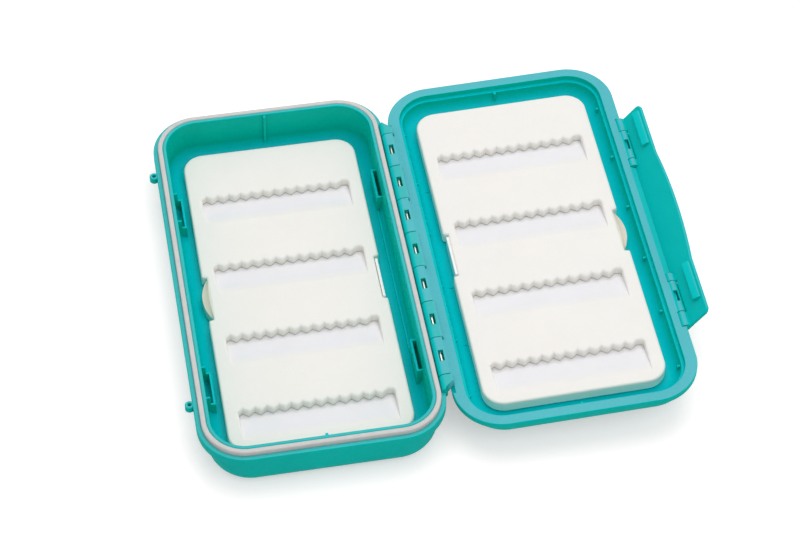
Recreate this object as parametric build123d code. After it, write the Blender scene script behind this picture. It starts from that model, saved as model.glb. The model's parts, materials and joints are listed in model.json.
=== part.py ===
"""Open fly box: two moulded trays on a long pin hinge, a flap latch and two ramped foam pads.

Millimetres. The origin is the centre of the base tray's underside, +X points from the base over
the hinge to the lid, +Y runs along the hinge and +Z is up. The lid is modelled in its own frame,
whose origin is the hinge axis, and is then laid open beside the base.
"""
import os

from build123d import *

# ---- outline shared by base and lid ------------------------------------------------------------
BOX_LENGTH = 190.0
BOX_WIDTH = 102.7
CORNER_RADIUS = 20.3
EDGE_ROUNDING = 0.5

# ---- base tray ---------------------------------------------------------------------------------
LEDGE_HEIGHT = 19.6
BASE_FLANGE_THICKNESS = 4.6
BASE_FLANGE_OVERHANG = 3.5
BASE_TUB_CORNER_RADIUS = 18.3
BASE_TUB_DRAFT = 2.0
BASE_TUB_ROUNDING = 9.5
BASE_FLOOR = 1.8
CAVITY_ROUNDING = 5.5
CAVITY_DRAFT = 1.0

# ---- seal: outer ledge, gasket in its groove, inner tongue -------------------------------------
LEDGE_WIDTH = 2.0
GASKET_WIDTH = 2.1
GASKET_CLEARANCE = 0.05
GASKET_RISE = 2.3
GASKET_ROUNDING = 0.7
GROOVE_DEPTH = 0.6
TONGUE_WIDTH = 1.6
TONGUE_RISE = 2.1
SEAL_GAP = 0.1

# ---- lid tray ----------------------------------------------------------------------------------
LID_FLANGE_THICKNESS = 3.0
LID_FLANGE_OVERHANG = 3.0
LID_END_OVERHANG = 0.8
LID_TUB_CORNER_RADIUS = 18.3
LID_TUB_DRAFT = 3.0
LID_TUB_ROUNDING = 9.0
LID_DEPTH = 9.4
LID_SKIN = 1.6
FLAT_WIDTH_SIDE = 5.3
FLAT_WIDTH_END = 4.5
STEP_DEPTH = 2.6
STEP_WIDTH = 1.4

# ---- main hinge --------------------------------------------------------------------------------
HINGE_GAP = 1.4
HINGE_WEB_ROOT = 1.4
HINGE_RISE = 0.9
KNUCKLE_RADIUS = 3.0
KNUCKLE_PITCH = 19.4
KNUCKLE_COUNT = 7
KNUCKLE_AXIAL_GAP = 0.3
KNUCKLE_SWEEP_CLEARANCE = 0.25
END_BLOCK_LENGTH = 7.2
PIN_RADIUS = 0.75
PIN_CLEARANCE = 0.05
PIN_INSET = 1.0
WINDOW_LENGTH = 5.6
WINDOW_WIDTH = 2.1
WINDOW_UNDERCUT = 0.4
LID_OPEN_ANGLE = 178.2

# ---- latch -------------------------------------------------------------------------------------
LATCH_AXIS_INSET = 0.35
LATCH_AXIS_DROP = 1.6
LATCH_KNUCKLE_RADIUS = 2.2
LATCH_GROUP_OFFSET = 43.8
LATCH_LID_KNUCKLE = 16.6
LATCH_OUTER_KNUCKLE = 7.6
LATCH_INNER_KNUCKLE = 4.2
LATCH_SWEEP_CLEARANCE = 0.25
LATCH_PIN_RADIUS = 0.6
LATCH_WINDOW_LENGTH = 5.8
LATCH_WINDOW_WIDTH = 1.7
LATCH_THICKNESS = 1.55
LATCH_REACH = 13.1
LATCH_BELLY = 1.9
LATCH_BELLY_SPAN = 61.0
LATCH_ROOT_GAP = 0.3
LATCH_LIP_START = 0.5
LATCH_FIT = 0.25
HOOK_DEPTH = 1.95
HOOK_CENTRES = (-41.8, 46.5)
HOOK_LENGTH = 19.5
HOOK_LAND = 0.75
HOOK_TIP_THICKNESS = 0.75
HOOK_SETBACK = 1.1
LATCH_CORNER_ROUNDING = 2.5
RIM_BEVEL_WIDTH = 2.4
RIM_BEVEL_DROP = 1.3
LATCH_OPEN_ANGLE = 52.0

# ---- ribs, sockets and nubs --------------------------------------------------------------------
RIB_WIDTH = 1.2
RIB_DEPTH = 1.3
RIB_BELOW_TONGUE = 0.6
SOCKET_OFFSET = 48.5
SOCKET_LENGTH = 17.0
SOCKET_DEPTH = 4.2
SOCKET_WALL = 1.0
SOCKET_RIB_HEIGHT = 11.2
SOCKET_BLADE_HEIGHT = 6.6
HINGE_SOCKET_DEPTH = 2.7
HINGE_SOCKET_HEIGHT = 10.6
HINGE_RAIL_HEIGHT = 2.2
NUB_PITCH = 29.6
NUB_COUNT = 6
NUB_LENGTH = 1.3
NUB_WIDTH = 0.9
NUB_HEIGHT = 3.4

# ---- foam pads and their plates ----------------------------------------------------------------
PAD_SIDE_CLEARANCE = 0.45
PAD_END_CLEARANCE = 1.4
PAD_CORNER_RADIUS = 9.0
PAD_THICKNESS = 5.2
PAD_ROUNDING = 1.0
PLATE_THICKNESS = 0.8
PLATE_MARGIN = 0.6
PLATE_SEAT_CLEARANCE = 0.02
ROW_COUNT = 4
ROW_SIDE_MARGIN = 6.4
ROW_FAR_MARGIN = 25.0
ROW_NEAR_MARGIN = 5.4
ROW_LENGTH = 16.4
ROW_DEPTH = 4.2
TOOTH_COUNT = 13
TOOTH_DEPTH = 1.8
RAMP_FOOT = 2.7
NOTCH_LENGTH = 24.0
NOTCH_DEPTH = 2.2
NOTCH_OFFSET = -1.0
TAB_BULGE = 4.0
TAB_LENGTH = 22.4
TAB_CLEARANCE = 0.2
TAB_LIFT = 0.4
CLIP_THICKNESS = 1.1
CLIP_LENGTH = 21.4
CLIP_PROUD = 0.4

# ---- lanyard eyelets ---------------------------------------------------------------------------
EYELET_OFFSET = 63.1
EYELET_STANDOFF = 1.25
EYELET_RADIUS = 1.95
EYELET_BORE_RADIUS = 0.8
EYELET_HEIGHT = 3.4

# ---- how far a cutting shape runs past the face it cuts --------------------------------------------
OVERRUN = 1.0

# ---- places worked out from the sizes ----------------------------------------------------------
HALF_WIDTH = BOX_WIDTH / 2
HALF_LENGTH = BOX_LENGTH / 2
GROOVE_WIDTH = GASKET_WIDTH + 2 * GASKET_CLEARANCE
TONGUE_OUTSET = LEDGE_WIDTH + GROOVE_WIDTH
RIM_WIDTH = TONGUE_OUTSET + TONGUE_WIDTH
TONGUE_TOP = LEDGE_HEIGHT + TONGUE_RISE
CLOSED_GAP = max(GASKET_RISE, TONGUE_RISE) + SEAL_GAP
AXIS_X = HALF_WIDTH + HINGE_GAP
AXIS_Z = LEDGE_HEIGHT + HINGE_RISE
FLAT_DROP = CLOSED_GAP - HINGE_RISE
LID_CENTRE = HINGE_GAP + HALF_WIDTH
LID_FLOOR = -FLAT_DROP - LID_DEPTH
LID_BOTTOM = LID_FLOOR - LID_SKIN
PAD_WIDTH = BOX_WIDTH - 2 * (FLAT_WIDTH_SIDE + STEP_WIDTH + CAVITY_ROUNDING + PAD_SIDE_CLEARANCE)
PAD_LENGTH = BOX_LENGTH - 2 * (FLAT_WIDTH_END + STEP_WIDTH + CAVITY_ROUNDING + PAD_END_CLEARANCE)
ROW_WIDTH = PAD_WIDTH - 2 * ROW_SIDE_MARGIN
ROW_FIRST = PAD_LENGTH / 2 - ROW_FAR_MARGIN
ROW_PITCH = (PAD_LENGTH - ROW_FAR_MARGIN - ROW_NEAR_MARGIN - ROW_LENGTH) / (ROW_COUNT - 1)
HINGE_HALF = KNUCKLE_COUNT * KNUCKLE_PITCH / 2
LATCH_AXIS_X = HINGE_GAP + BOX_WIDTH - LATCH_AXIS_INSET
LATCH_AXIS_Z = -FLAT_DROP - LATCH_AXIS_DROP
LATCH_INNER_FACE = -(LATCH_AXIS_INSET + LATCH_FIT)
LATCH_OUTER_FACE = LATCH_INNER_FACE - LATCH_THICKNESS
CATCH_REACH = LATCH_AXIS_DROP + CLOSED_GAP + BASE_FLANGE_THICKNESS + LATCH_FIT
OPEN_LID = Pos(AXIS_X, 0, AXIS_Z) * Rot(0, LID_OPEN_ANGLE - 180, 0)
OPEN_LATCH = Pos(LATCH_AXIS_X, 0, LATCH_AXIS_Z) * Rot(0, -LATCH_OPEN_ANGLE, 0)


# ---- helpers -----------------------------------------------------------------------------------
def block(x0, x1, y0, y1, z0, z1):
    """An axis-aligned box between opposite corners."""
    return Pos((x0 + x1) / 2, (y0 + y1) / 2, (z0 + z1) / 2) * Box(x1 - x0, y1 - y0, z1 - z0)


def tray(width, length, radius, top, bottom, centre=0.0, draft=0.0, rounding=0.0):
    """A rounded rectangle drawn down from top to bottom, drafted inward, with a rounded foot."""
    outline = Pos(centre, 0, top) * RectangleRounded(width, length, radius)
    solid = extrude(outline, amount=top - bottom, dir=(0, 0, -1), taper=draft)
    if rounding:
        solid = fillet(solid.edges().group_by(Axis.Z)[0], rounding)
    return solid


def rod(radius, y0, y1, x=0.0, z=0.0):
    """A cylinder lying along Y."""
    return Pos(x, (y0 + y1) / 2, z) * Rot(90, 0, 0) * Cylinder(radius, y1 - y0)


def prism(points, y0, y1):
    """A polygon of (x, z) points drawn along Y."""
    face = Plane.XZ.offset(-y0) * make_face(Polyline(*points, close=True))
    return extrude(face, amount=y1 - y0, dir=(0, 1, 0))


def joined(shape, extras):
    for extra in extras:
        shape += extra
    return shape


def cut(shape, tools):
    for tool in tools:
        shape -= tool
    return shape


def within(body, extras):
    """The extras, kept inside the outer surface of the filled-in body."""
    return [extra & body for extra in extras]


# ---- main hinge --------------------------------------------------------------------------------
def knuckle_spans():
    """(y0, y1) of each knuckle along the hinge, free of the axial gaps."""
    spans = []
    for index in range(KNUCKLE_COUNT):
        start = -HINGE_HALF + index * KNUCKLE_PITCH
        spans.append((start + KNUCKLE_AXIAL_GAP / 2, start + KNUCKLE_PITCH - KNUCKLE_AXIAL_GAP / 2))
    return spans


def lid_knuckles():
    return knuckle_spans()[0::2]


def base_knuckles():
    return knuckle_spans()[1::2]


def base_spans():
    """The base holds the knuckles between the lid's, and a plain block past each end."""
    end = HINGE_HALF + KNUCKLE_AXIAL_GAP / 2
    return base_knuckles() + [(-end - END_BLOCK_LENGTH, -end), (end, end + END_BLOCK_LENGTH)]


def sweep_space(spans, axis_x, axis_z, radius, clearance):
    """Round pockets in which the other half's knuckles turn."""
    gap = KNUCKLE_AXIAL_GAP
    return [rod(radius + clearance, y0 - gap, y1 + gap, axis_x, axis_z) for y0, y1 in spans]


def pin_window(y, axis_x, axis_z, radius, pin_radius, length, width):
    """A slot from the top of a knuckle down past its pin."""
    floor = axis_z - pin_radius - WINDOW_UNDERCUT
    top = axis_z + radius + OVERRUN
    return block(axis_x - width / 2, axis_x + width / 2, y - length / 2, y + length / 2, floor, top)


def hinge_windows(spans, axis_x, axis_z):
    return [pin_window((y0 + y1) / 2, axis_x, axis_z, KNUCKLE_RADIUS, PIN_RADIUS,
                       WINDOW_LENGTH, WINDOW_WIDTH) for y0, y1 in spans]


def hinge_bore(axis_x, axis_z):
    reach = HINGE_HALF + END_BLOCK_LENGTH - PIN_INSET + KNUCKLE_AXIAL_GAP
    return rod(PIN_RADIUS + PIN_CLEARANCE, -reach, reach, axis_x, axis_z)


def make_hinge_pin():
    reach = HINGE_HALF + END_BLOCK_LENGTH - PIN_INSET
    return rod(PIN_RADIUS, -reach, reach, AXIS_X, AXIS_Z)


# ---- base tray ---------------------------------------------------------------------------------
def base_flange():
    flange = tray(BOX_WIDTH, BOX_LENGTH, CORNER_RADIUS, LEDGE_HEIGHT,
                  LEDGE_HEIGHT - BASE_FLANGE_THICKNESS)
    rims = flange.edges().group_by(Axis.Z)
    return fillet(rims[0] + rims[-1], EDGE_ROUNDING)


def base_tongue():
    width = BOX_WIDTH - 2 * TONGUE_OUTSET
    length = BOX_LENGTH - 2 * TONGUE_OUTSET
    radius = CORNER_RADIUS - TONGUE_OUTSET
    tongue = tray(width, length, radius, TONGUE_TOP, LEDGE_HEIGHT - BASE_FLANGE_THICKNESS)
    return fillet(tongue.edges().group_by(Axis.Z)[-1], EDGE_ROUNDING)


def base_cavity():
    return tray(BOX_WIDTH - 2 * RIM_WIDTH, BOX_LENGTH - 2 * RIM_WIDTH, CORNER_RADIUS - RIM_WIDTH,
                TONGUE_TOP, BASE_FLOOR, draft=CAVITY_DRAFT, rounding=CAVITY_ROUNDING)


def gasket_groove():
    outer = tray(BOX_WIDTH - 2 * LEDGE_WIDTH, BOX_LENGTH - 2 * LEDGE_WIDTH,
                 CORNER_RADIUS - LEDGE_WIDTH, TONGUE_TOP, LEDGE_HEIGHT - GROOVE_DEPTH)
    inner = tray(BOX_WIDTH - 2 * TONGUE_OUTSET, BOX_LENGTH - 2 * TONGUE_OUTSET,
                 CORNER_RADIUS - TONGUE_OUTSET, TONGUE_TOP, LEDGE_HEIGHT - GROOVE_DEPTH)
    return outer - inner


def base_hinge_block(y0, y1):
    """A knuckle and the web that carries it on the base's flange."""
    web = block(HALF_WIDTH - HINGE_WEB_ROOT, AXIS_X, y0, y1, LEDGE_HEIGHT - BASE_FLANGE_THICKNESS, AXIS_Z)
    return web + rod(KNUCKLE_RADIUS, y0, y1, AXIS_X, AXIS_Z)


def end_ribs(half_length, bottom, top, centre=0.0):
    """The upright centre ribs on the two short walls."""
    half = RIB_WIDTH / 2
    inner = half_length - RIB_DEPTH
    outer = half_length + RIB_DEPTH
    return [block(centre - half, centre + half, inner, outer, bottom, top),
            block(centre - half, centre + half, -outer, -inner, bottom, top)]


def latch_side_socket(y_centre):
    """A socket on the latch-side wall: two stepped ribs joined by a lower blade."""
    wall = -HALF_WIDTH + RIM_WIDTH
    blade = wall + SOCKET_DEPTH
    y0 = y_centre - SOCKET_LENGTH / 2
    y1 = y_centre + SOCKET_LENGTH / 2
    tall = BASE_FLOOR + SOCKET_RIB_HEIGHT
    low = BASE_FLOOR + SOCKET_BLADE_HEIGHT
    root = wall - SOCKET_WALL
    middle = wall + SOCKET_DEPTH / 2
    pieces = [block(blade - SOCKET_WALL, blade, y0, y1, BASE_FLOOR, low)]
    for edge in (y0, y1 - SOCKET_WALL):
        pieces.append(block(root, middle, edge, edge + SOCKET_WALL, BASE_FLOOR, tall))
        pieces.append(block(middle, blade, edge, edge + SOCKET_WALL, BASE_FLOOR, low))
    return pieces


def hinge_side_rail():
    """The low rail beside the hinge-side wall, raised to a socket near each end."""
    wall = HALF_WIDTH - RIM_WIDTH
    blade = wall - HINGE_SOCKET_DEPTH
    end = SOCKET_OFFSET + SOCKET_LENGTH / 2
    tall = BASE_FLOOR + HINGE_SOCKET_HEIGHT
    low = BASE_FLOOR + HINGE_RAIL_HEIGHT
    pieces = [block(blade, blade + SOCKET_WALL, -end, end, BASE_FLOOR, low)]
    for side in (-1, 1):
        y0 = side * SOCKET_OFFSET - SOCKET_LENGTH / 2
        y1 = side * SOCKET_OFFSET + SOCKET_LENGTH / 2
        pieces.append(block(blade, blade + SOCKET_WALL, y0, y1, BASE_FLOOR, tall))
        for edge in (y0, y1 - SOCKET_WALL):
            pieces.append(block(blade, wall + SOCKET_WALL, edge, edge + SOCKET_WALL, BASE_FLOOR, tall))
    return pieces


def make_base_shell():
    tub = tray(BOX_WIDTH - 2 * BASE_FLANGE_OVERHANG, BOX_LENGTH, BASE_TUB_CORNER_RADIUS,
               LEDGE_HEIGHT - BASE_FLANGE_THICKNESS + EDGE_ROUNDING, 0.0,
               draft=BASE_TUB_DRAFT, rounding=BASE_TUB_ROUNDING)
    filled = tub + base_flange() + base_tongue() - gasket_groove()
    ribs = end_ribs(HALF_LENGTH - RIM_WIDTH, BASE_FLOOR, TONGUE_TOP - RIB_BELOW_TONGUE)
    for side in (-1, 1):
        ribs += latch_side_socket(side * SOCKET_OFFSET)
    ribs += hinge_side_rail()
    shell = joined(filled - base_cavity(), within(filled, ribs))
    shell = joined(shell, [base_hinge_block(y0, y1) for y0, y1 in base_spans()])
    shell = cut(shell, sweep_space(lid_knuckles(), AXIS_X, AXIS_Z, KNUCKLE_RADIUS,
                                   KNUCKLE_SWEEP_CLEARANCE))
    shell = cut(shell, hinge_windows(base_knuckles(), AXIS_X, AXIS_Z))
    return shell - hinge_bore(AXIS_X, AXIS_Z)


def make_gasket():
    outset = LEDGE_WIDTH + GASKET_CLEARANCE
    inset = outset + GASKET_WIDTH
    bottom = LEDGE_HEIGHT - GROOVE_DEPTH
    top = LEDGE_HEIGHT + GASKET_RISE
    outer = tray(BOX_WIDTH - 2 * outset, BOX_LENGTH - 2 * outset, CORNER_RADIUS - outset, top, bottom)
    inner = tray(BOX_WIDTH - 2 * inset, BOX_LENGTH - 2 * inset, CORNER_RADIUS - inset, top, bottom)
    ring = outer - inner
    return fillet(ring.edges().group_by(Axis.Z)[-1], GASKET_ROUNDING)


def make_lanyard_eyelets():
    """Two small rings on the latch-side edge of the base's flange."""
    centre = -HALF_WIDTH - EYELET_STANDOFF
    middle = LEDGE_HEIGHT - BASE_FLANGE_THICKNESS / 2
    rings = []
    for side in (-1, 1):
        place = Pos(centre, side * EYELET_OFFSET, middle)
        ring = place * Cylinder(EYELET_RADIUS, EYELET_HEIGHT)
        ring -= place * Cylinder(EYELET_BORE_RADIUS, EYELET_HEIGHT + OVERRUN)
        flange_side = block(-HALF_WIDTH, 0, side * EYELET_OFFSET - EYELET_RADIUS,
                            side * EYELET_OFFSET + EYELET_RADIUS, 0, LEDGE_HEIGHT)
        rings.append(ring - flange_side)
    return Compound(children=rings)


# ---- lid tray, in the hinge-axis frame ---------------------------------------------------------
def lid_flange():
    flange = tray(BOX_WIDTH, BOX_LENGTH, CORNER_RADIUS, -FLAT_DROP,
                  -FLAT_DROP - LID_FLANGE_THICKNESS, centre=LID_CENTRE)
    rims = flange.edges().group_by(Axis.Z)
    return fillet(rims[0] + rims[-1], EDGE_ROUNDING)


def lid_hollow():
    """The step behind the sealing flat, and the cavity below it."""
    step = tray(BOX_WIDTH - 2 * FLAT_WIDTH_SIDE, BOX_LENGTH - 2 * FLAT_WIDTH_END,
                CORNER_RADIUS - FLAT_WIDTH_SIDE, -FLAT_DROP, -FLAT_DROP - STEP_DEPTH,
                centre=LID_CENTRE)
    inset_side = FLAT_WIDTH_SIDE + STEP_WIDTH
    inset_end = FLAT_WIDTH_END + STEP_WIDTH
    cavity = tray(BOX_WIDTH - 2 * inset_side, BOX_LENGTH - 2 * inset_end,
                  CORNER_RADIUS - inset_side, -FLAT_DROP, LID_FLOOR, centre=LID_CENTRE,
                  draft=CAVITY_DRAFT, rounding=CAVITY_ROUNDING)
    return step + cavity


def lid_hinge_block(y0, y1):
    web = block(0, HINGE_GAP + HINGE_WEB_ROOT, y0, y1, -FLAT_DROP - LID_FLANGE_THICKNESS, 0)
    keep = web & rod(FLAT_DROP + LID_FLANGE_THICKNESS, y0, y1)
    return keep + rod(KNUCKLE_RADIUS, y0, y1)


def lid_nubs():
    """Short ribs on the floor against the latch-side wall."""
    wall = LID_CENTRE + HALF_WIDTH - FLAT_WIDTH_SIDE - STEP_WIDTH
    first = -NUB_PITCH * (NUB_COUNT - 1) / 2
    nubs = []
    for index in range(NUB_COUNT):
        y = first + index * NUB_PITCH
        nubs.append(block(wall - NUB_LENGTH, wall + NUB_WIDTH, y - NUB_WIDTH / 2, y + NUB_WIDTH / 2,
                          LID_FLOOR, LID_FLOOR + NUB_HEIGHT))
    return nubs


def latch_groups():
    """For each group: the lid's own knuckle span and the latch's two spans around it."""
    groups = []
    half = LATCH_LID_KNUCKLE / 2
    gap = KNUCKLE_AXIAL_GAP / 2
    for side in (-1, 1):
        centre = side * LATCH_GROUP_OFFSET
        edges = sorted((centre - side * half, centre + side * half))
        inner = sorted((centre - side * (half + gap), centre - side * (half + LATCH_INNER_KNUCKLE)))
        outer = sorted((centre + side * (half + gap), centre + side * (half + LATCH_OUTER_KNUCKLE)))
        groups.append((tuple(edges), [tuple(inner), tuple(outer)]))
    return groups


def latch_bore(y0, y1, axis_x, axis_z):
    return rod(LATCH_PIN_RADIUS + PIN_CLEARANCE, y0, y1, axis_x, axis_z)


def latch_middle():
    """How far the flap and the lid's rim run free on each side of the middle, up to the knuckles."""
    return LATCH_GROUP_OFFSET - LATCH_LID_KNUCKLE / 2 - LATCH_INNER_KNUCKLE


def rim_bevel():
    """The slope that lowers the lid's rim where the flap folds back against it."""
    edge = LID_CENTRE + HALF_WIDTH
    reach = latch_middle()
    profile = [(edge - RIM_BEVEL_WIDTH, -FLAT_DROP), (edge, -FLAT_DROP - RIM_BEVEL_DROP),
               (edge + OVERRUN, -FLAT_DROP - RIM_BEVEL_DROP), (edge + OVERRUN, -FLAT_DROP + OVERRUN),
               (edge - RIM_BEVEL_WIDTH, -FLAT_DROP + OVERRUN)]
    return prism(profile, -reach, reach)


def latch_pin_span(group):
    inner, outer = group[1]
    return min(inner[0], outer[0]) + PIN_INSET, max(inner[1], outer[1]) - PIN_INSET


def make_lid_shell():
    tub = tray(BOX_WIDTH - 2 * LID_FLANGE_OVERHANG, BOX_LENGTH - 2 * LID_END_OVERHANG,
               LID_TUB_CORNER_RADIUS, -FLAT_DROP - EDGE_ROUNDING, LID_BOTTOM,
               centre=LID_CENTRE, draft=LID_TUB_DRAFT, rounding=LID_TUB_ROUNDING)
    filled = tub + lid_flange()
    half_end = HALF_LENGTH - FLAT_WIDTH_END - STEP_WIDTH
    ribs = end_ribs(half_end, LID_FLOOR, -FLAT_DROP - STEP_DEPTH, LID_CENTRE) + lid_nubs()
    shell = joined(filled - lid_hollow(), within(filled, ribs))
    shell = joined(shell, [lid_hinge_block(y0, y1) for y0, y1 in lid_knuckles()])
    shell = cut(shell, sweep_space(base_spans(), 0, 0, KNUCKLE_RADIUS, KNUCKLE_SWEEP_CLEARANCE))
    shell = cut(shell, hinge_windows(lid_knuckles(), 0, 0))
    shell = shell - hinge_bore(0, 0) - rim_bevel()
    for group in latch_groups():
        (y0, y1), latch_spans = group
        shell += rod(LATCH_KNUCKLE_RADIUS, y0, y1, LATCH_AXIS_X, LATCH_AXIS_Z)
        shell = cut(shell, sweep_space(latch_spans, LATCH_AXIS_X, LATCH_AXIS_Z,
                                       LATCH_KNUCKLE_RADIUS, LATCH_SWEEP_CLEARANCE))
        shell -= pin_window((y0 + y1) / 2, LATCH_AXIS_X, LATCH_AXIS_Z, LATCH_KNUCKLE_RADIUS,
                            LATCH_PIN_RADIUS, LATCH_WINDOW_LENGTH, LATCH_WINDOW_WIDTH)
        pin0, pin1 = latch_pin_span(group)
        shell -= latch_bore(pin0, pin1, LATCH_AXIS_X, LATCH_AXIS_Z)
    return OPEN_LID * shell


def make_latch_pin(group):
    y0, y1 = latch_pin_span(group)
    return OPEN_LID * rod(LATCH_PIN_RADIUS, y0, y1, LATCH_AXIS_X, LATCH_AXIS_Z)


# ---- latch, in its own axis frame: +X along the flap, +Z off its inner face ----------------------
def latch_flap():
    """The flap's outline: straight over the hooks, bulging in the middle for the thumb."""
    end = LATCH_GROUP_OFFSET + LATCH_LID_KNUCKLE / 2 + LATCH_OUTER_KNUCKLE
    root = LATCH_KNUCKLE_RADIUS + LATCH_ROOT_GAP
    belly = LATCH_BELLY_SPAN / 2
    outline = [
        Polyline((root, end), (LATCH_REACH, end), (LATCH_REACH, belly)),
        ThreePointArc((LATCH_REACH, belly), (LATCH_REACH + LATCH_BELLY, 0), (LATCH_REACH, -belly)),
        Polyline((LATCH_REACH, -belly), (LATCH_REACH, -end), (root, -end), (root, end)),
    ]
    face = Pos(0, 0, LATCH_OUTER_FACE) * make_face(outline)
    flap = extrude(face, amount=LATCH_THICKNESS, dir=(0, 0, 1))
    corners = [edge for edge in flap.edges().filter_by(Axis.Z)
               if abs(edge.center().Y) > belly + OVERRUN and edge.center().X > root + OVERRUN]
    return fillet(corners, LATCH_CORNER_ROUNDING)


def latch_hook(y0, y1):
    """A ridge that catches under the base's flange, sloped towards the flap's edge."""
    base = LATCH_INNER_FACE
    tip = base + HOOK_DEPTH
    sunk = base - LATCH_THICKNESS / 2
    outer = LATCH_REACH - HOOK_SETBACK
    profile = [(CATCH_REACH, sunk), (CATCH_REACH, tip), (CATCH_REACH + HOOK_LAND, tip),
               (outer, base + HOOK_TIP_THICKNESS), (outer, sunk)]
    return prism(profile, y0, y1)


def latch_knuckle(y0, y1):
    root = LATCH_KNUCKLE_RADIUS + LATCH_ROOT_GAP
    arm = block(0, root, y0, y1, LATCH_OUTER_FACE, LATCH_INNER_FACE)
    return arm + rod(LATCH_KNUCKLE_RADIUS, y0, y1)


def latch_lip():
    """The flap's middle, carried back towards the lid's rim between the knuckles."""
    middle = latch_middle()
    return block(LATCH_LIP_START, LATCH_KNUCKLE_RADIUS + LATCH_ROOT_GAP + OVERRUN, -middle, middle,
                 LATCH_OUTER_FACE, LATCH_INNER_FACE)


def make_latch():
    latch = latch_flap() + latch_lip()
    for group in latch_groups():
        latch = joined(latch, [latch_knuckle(y0, y1) for y0, y1 in group[1]])
        pin0, pin1 = latch_pin_span(group)
        latch -= latch_bore(pin0, pin1, 0, 0)
    for middle in HOOK_CENTRES:
        latch += latch_hook(middle - HOOK_LENGTH / 2, middle + HOOK_LENGTH / 2)
    return OPEN_LID * OPEN_LATCH * latch


# ---- foam pads: own frame with +Z up from the plate's underside and -X the thumb notch -------------
def toothed_recess(far_edge):
    """One fly row: a ramp from flush at its near end down to a toothed far wall."""
    top = PLATE_THICKNESS + PAD_THICKNESS
    tooth = ROW_WIDTH / TOOTH_COUNT
    half = ROW_WIDTH / 2
    near = far_edge - ROW_LENGTH
    points = [(-half, near), (-half, far_edge)]
    for index in range(TOOTH_COUNT):
        start = -half + index * tooth
        points.append((start + tooth / 2, far_edge - TOOTH_DEPTH))
        points.append((start + tooth, far_edge))
    points.append((half, near))
    plan = Pos(0, 0, top - ROW_DEPTH) * make_face(Polyline(*points, close=True))
    well = extrude(plan, amount=ROW_DEPTH + OVERRUN, dir=(0, 0, 1))
    foot = far_edge - RAMP_FOOT
    floor = top - ROW_DEPTH
    ramp = Plane.YZ.offset(-half - OVERRUN) * make_face(Polyline(
        (near, floor - OVERRUN), (near, top), (foot, floor), (foot, floor - OVERRUN), close=True))
    return well - extrude(ramp, amount=ROW_WIDTH + 2 * OVERRUN, dir=(1, 0, 0))


def pad_notch(side):
    """The mid-length cut in one long edge of the pad."""
    edge = side * PAD_WIDTH / 2
    inner = edge - side * NOTCH_DEPTH
    x0, x1 = sorted((inner, edge + side))
    return block(x0, x1, NOTCH_OFFSET - NOTCH_LENGTH / 2, NOTCH_OFFSET + NOTCH_LENGTH / 2,
                 0, PLATE_THICKNESS + PAD_THICKNESS + OVERRUN)


def pad_solid():
    pad = tray(PAD_WIDTH, PAD_LENGTH, PAD_CORNER_RADIUS, PLATE_THICKNESS + PAD_THICKNESS,
               PLATE_THICKNESS)
    pad = fillet(pad.edges().group_by(Axis.Z)[-1], PAD_ROUNDING)
    for row in range(ROW_COUNT):
        pad -= toothed_recess(ROW_FIRST - row * ROW_PITCH)
    return cut(pad, [pad_notch(-1), pad_notch(1)])


def thumb_tab():
    """The half-moon tab of the plate, standing in the thumb notch up to the pad's top."""
    inner = -PAD_WIDTH / 2 + NOTCH_DEPTH - TAB_CLEARANCE
    y0 = NOTCH_OFFSET - TAB_LENGTH / 2
    y1 = NOTCH_OFFSET + TAB_LENGTH / 2
    outline = [Line((inner, y1), (inner, y0)),
               ThreePointArc((inner, y0), (inner - TAB_BULGE, NOTCH_OFFSET), (inner, y1))]
    face = Pos(0, 0, TAB_LIFT) * make_face(outline)
    return extrude(face, amount=PLATE_THICKNESS + PAD_THICKNESS - TAB_LIFT, dir=(0, 0, 1))


def plate_solid():
    margin = 2 * PLATE_MARGIN
    plate = tray(PAD_WIDTH - margin, PAD_LENGTH - margin, PAD_CORNER_RADIUS - PLATE_MARGIN,
                 PLATE_THICKNESS, 0)
    return plate + thumb_tab()


def clip_solid():
    inner = PAD_WIDTH / 2 - NOTCH_DEPTH + TAB_CLEARANCE
    return block(inner, inner + CLIP_THICKNESS, NOTCH_OFFSET - CLIP_LENGTH / 2,
                 NOTCH_OFFSET + CLIP_LENGTH / 2, PLATE_THICKNESS,
                 PLATE_THICKNESS + PAD_THICKNESS + CLIP_PROUD)


IN_BASE = Pos(0, 0, BASE_FLOOR + PLATE_SEAT_CLEARANCE)
IN_LID = OPEN_LID * Pos(LID_CENTRE, 0, LID_FLOOR + PLATE_SEAT_CLEARANCE)


def flipped(shape):
    """The lid's pad is the same one with its thumb notch towards the latch."""
    return mirror(shape, about=Plane.YZ)


def all_parts():
    lower, upper = latch_groups()
    return {
        "base_shell": make_base_shell(),
        "gasket": make_gasket(),
        "hinge_pin": make_hinge_pin(),
        "lanyard_eyelets": make_lanyard_eyelets(),
        "base_pad": IN_BASE * pad_solid(),
        "base_pad_plate": IN_BASE * plate_solid(),
        "base_pad_clip": IN_BASE * clip_solid(),
        "lid_shell": make_lid_shell(),
        "latch_pin_lower": make_latch_pin(lower),
        "latch_pin_upper": make_latch_pin(upper),
        "lid_pad": IN_LID * flipped(pad_solid()),
        "lid_pad_plate": IN_LID * flipped(plate_solid()),
        "lid_pad_clip": IN_LID * flipped(clip_solid()),
        "latch": make_latch(),
    }


os.makedirs("parts", exist_ok=True)
for name, shape in all_parts().items():
    export_step(shape, f"parts/{name}.step")
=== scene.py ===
"""Dresses an open fly box: two moulded trays on a pin hinge, a rubber seal, a flap latch and two
ramped foam inserts. Lengths are millimetres until a mesh is finished, and metres after that."""
import json
import math
from functools import partial

import bmesh
import bpy
from bpy.props import FloatProperty, FloatVectorProperty, PointerProperty
from mathutils import Matrix, Vector

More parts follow.
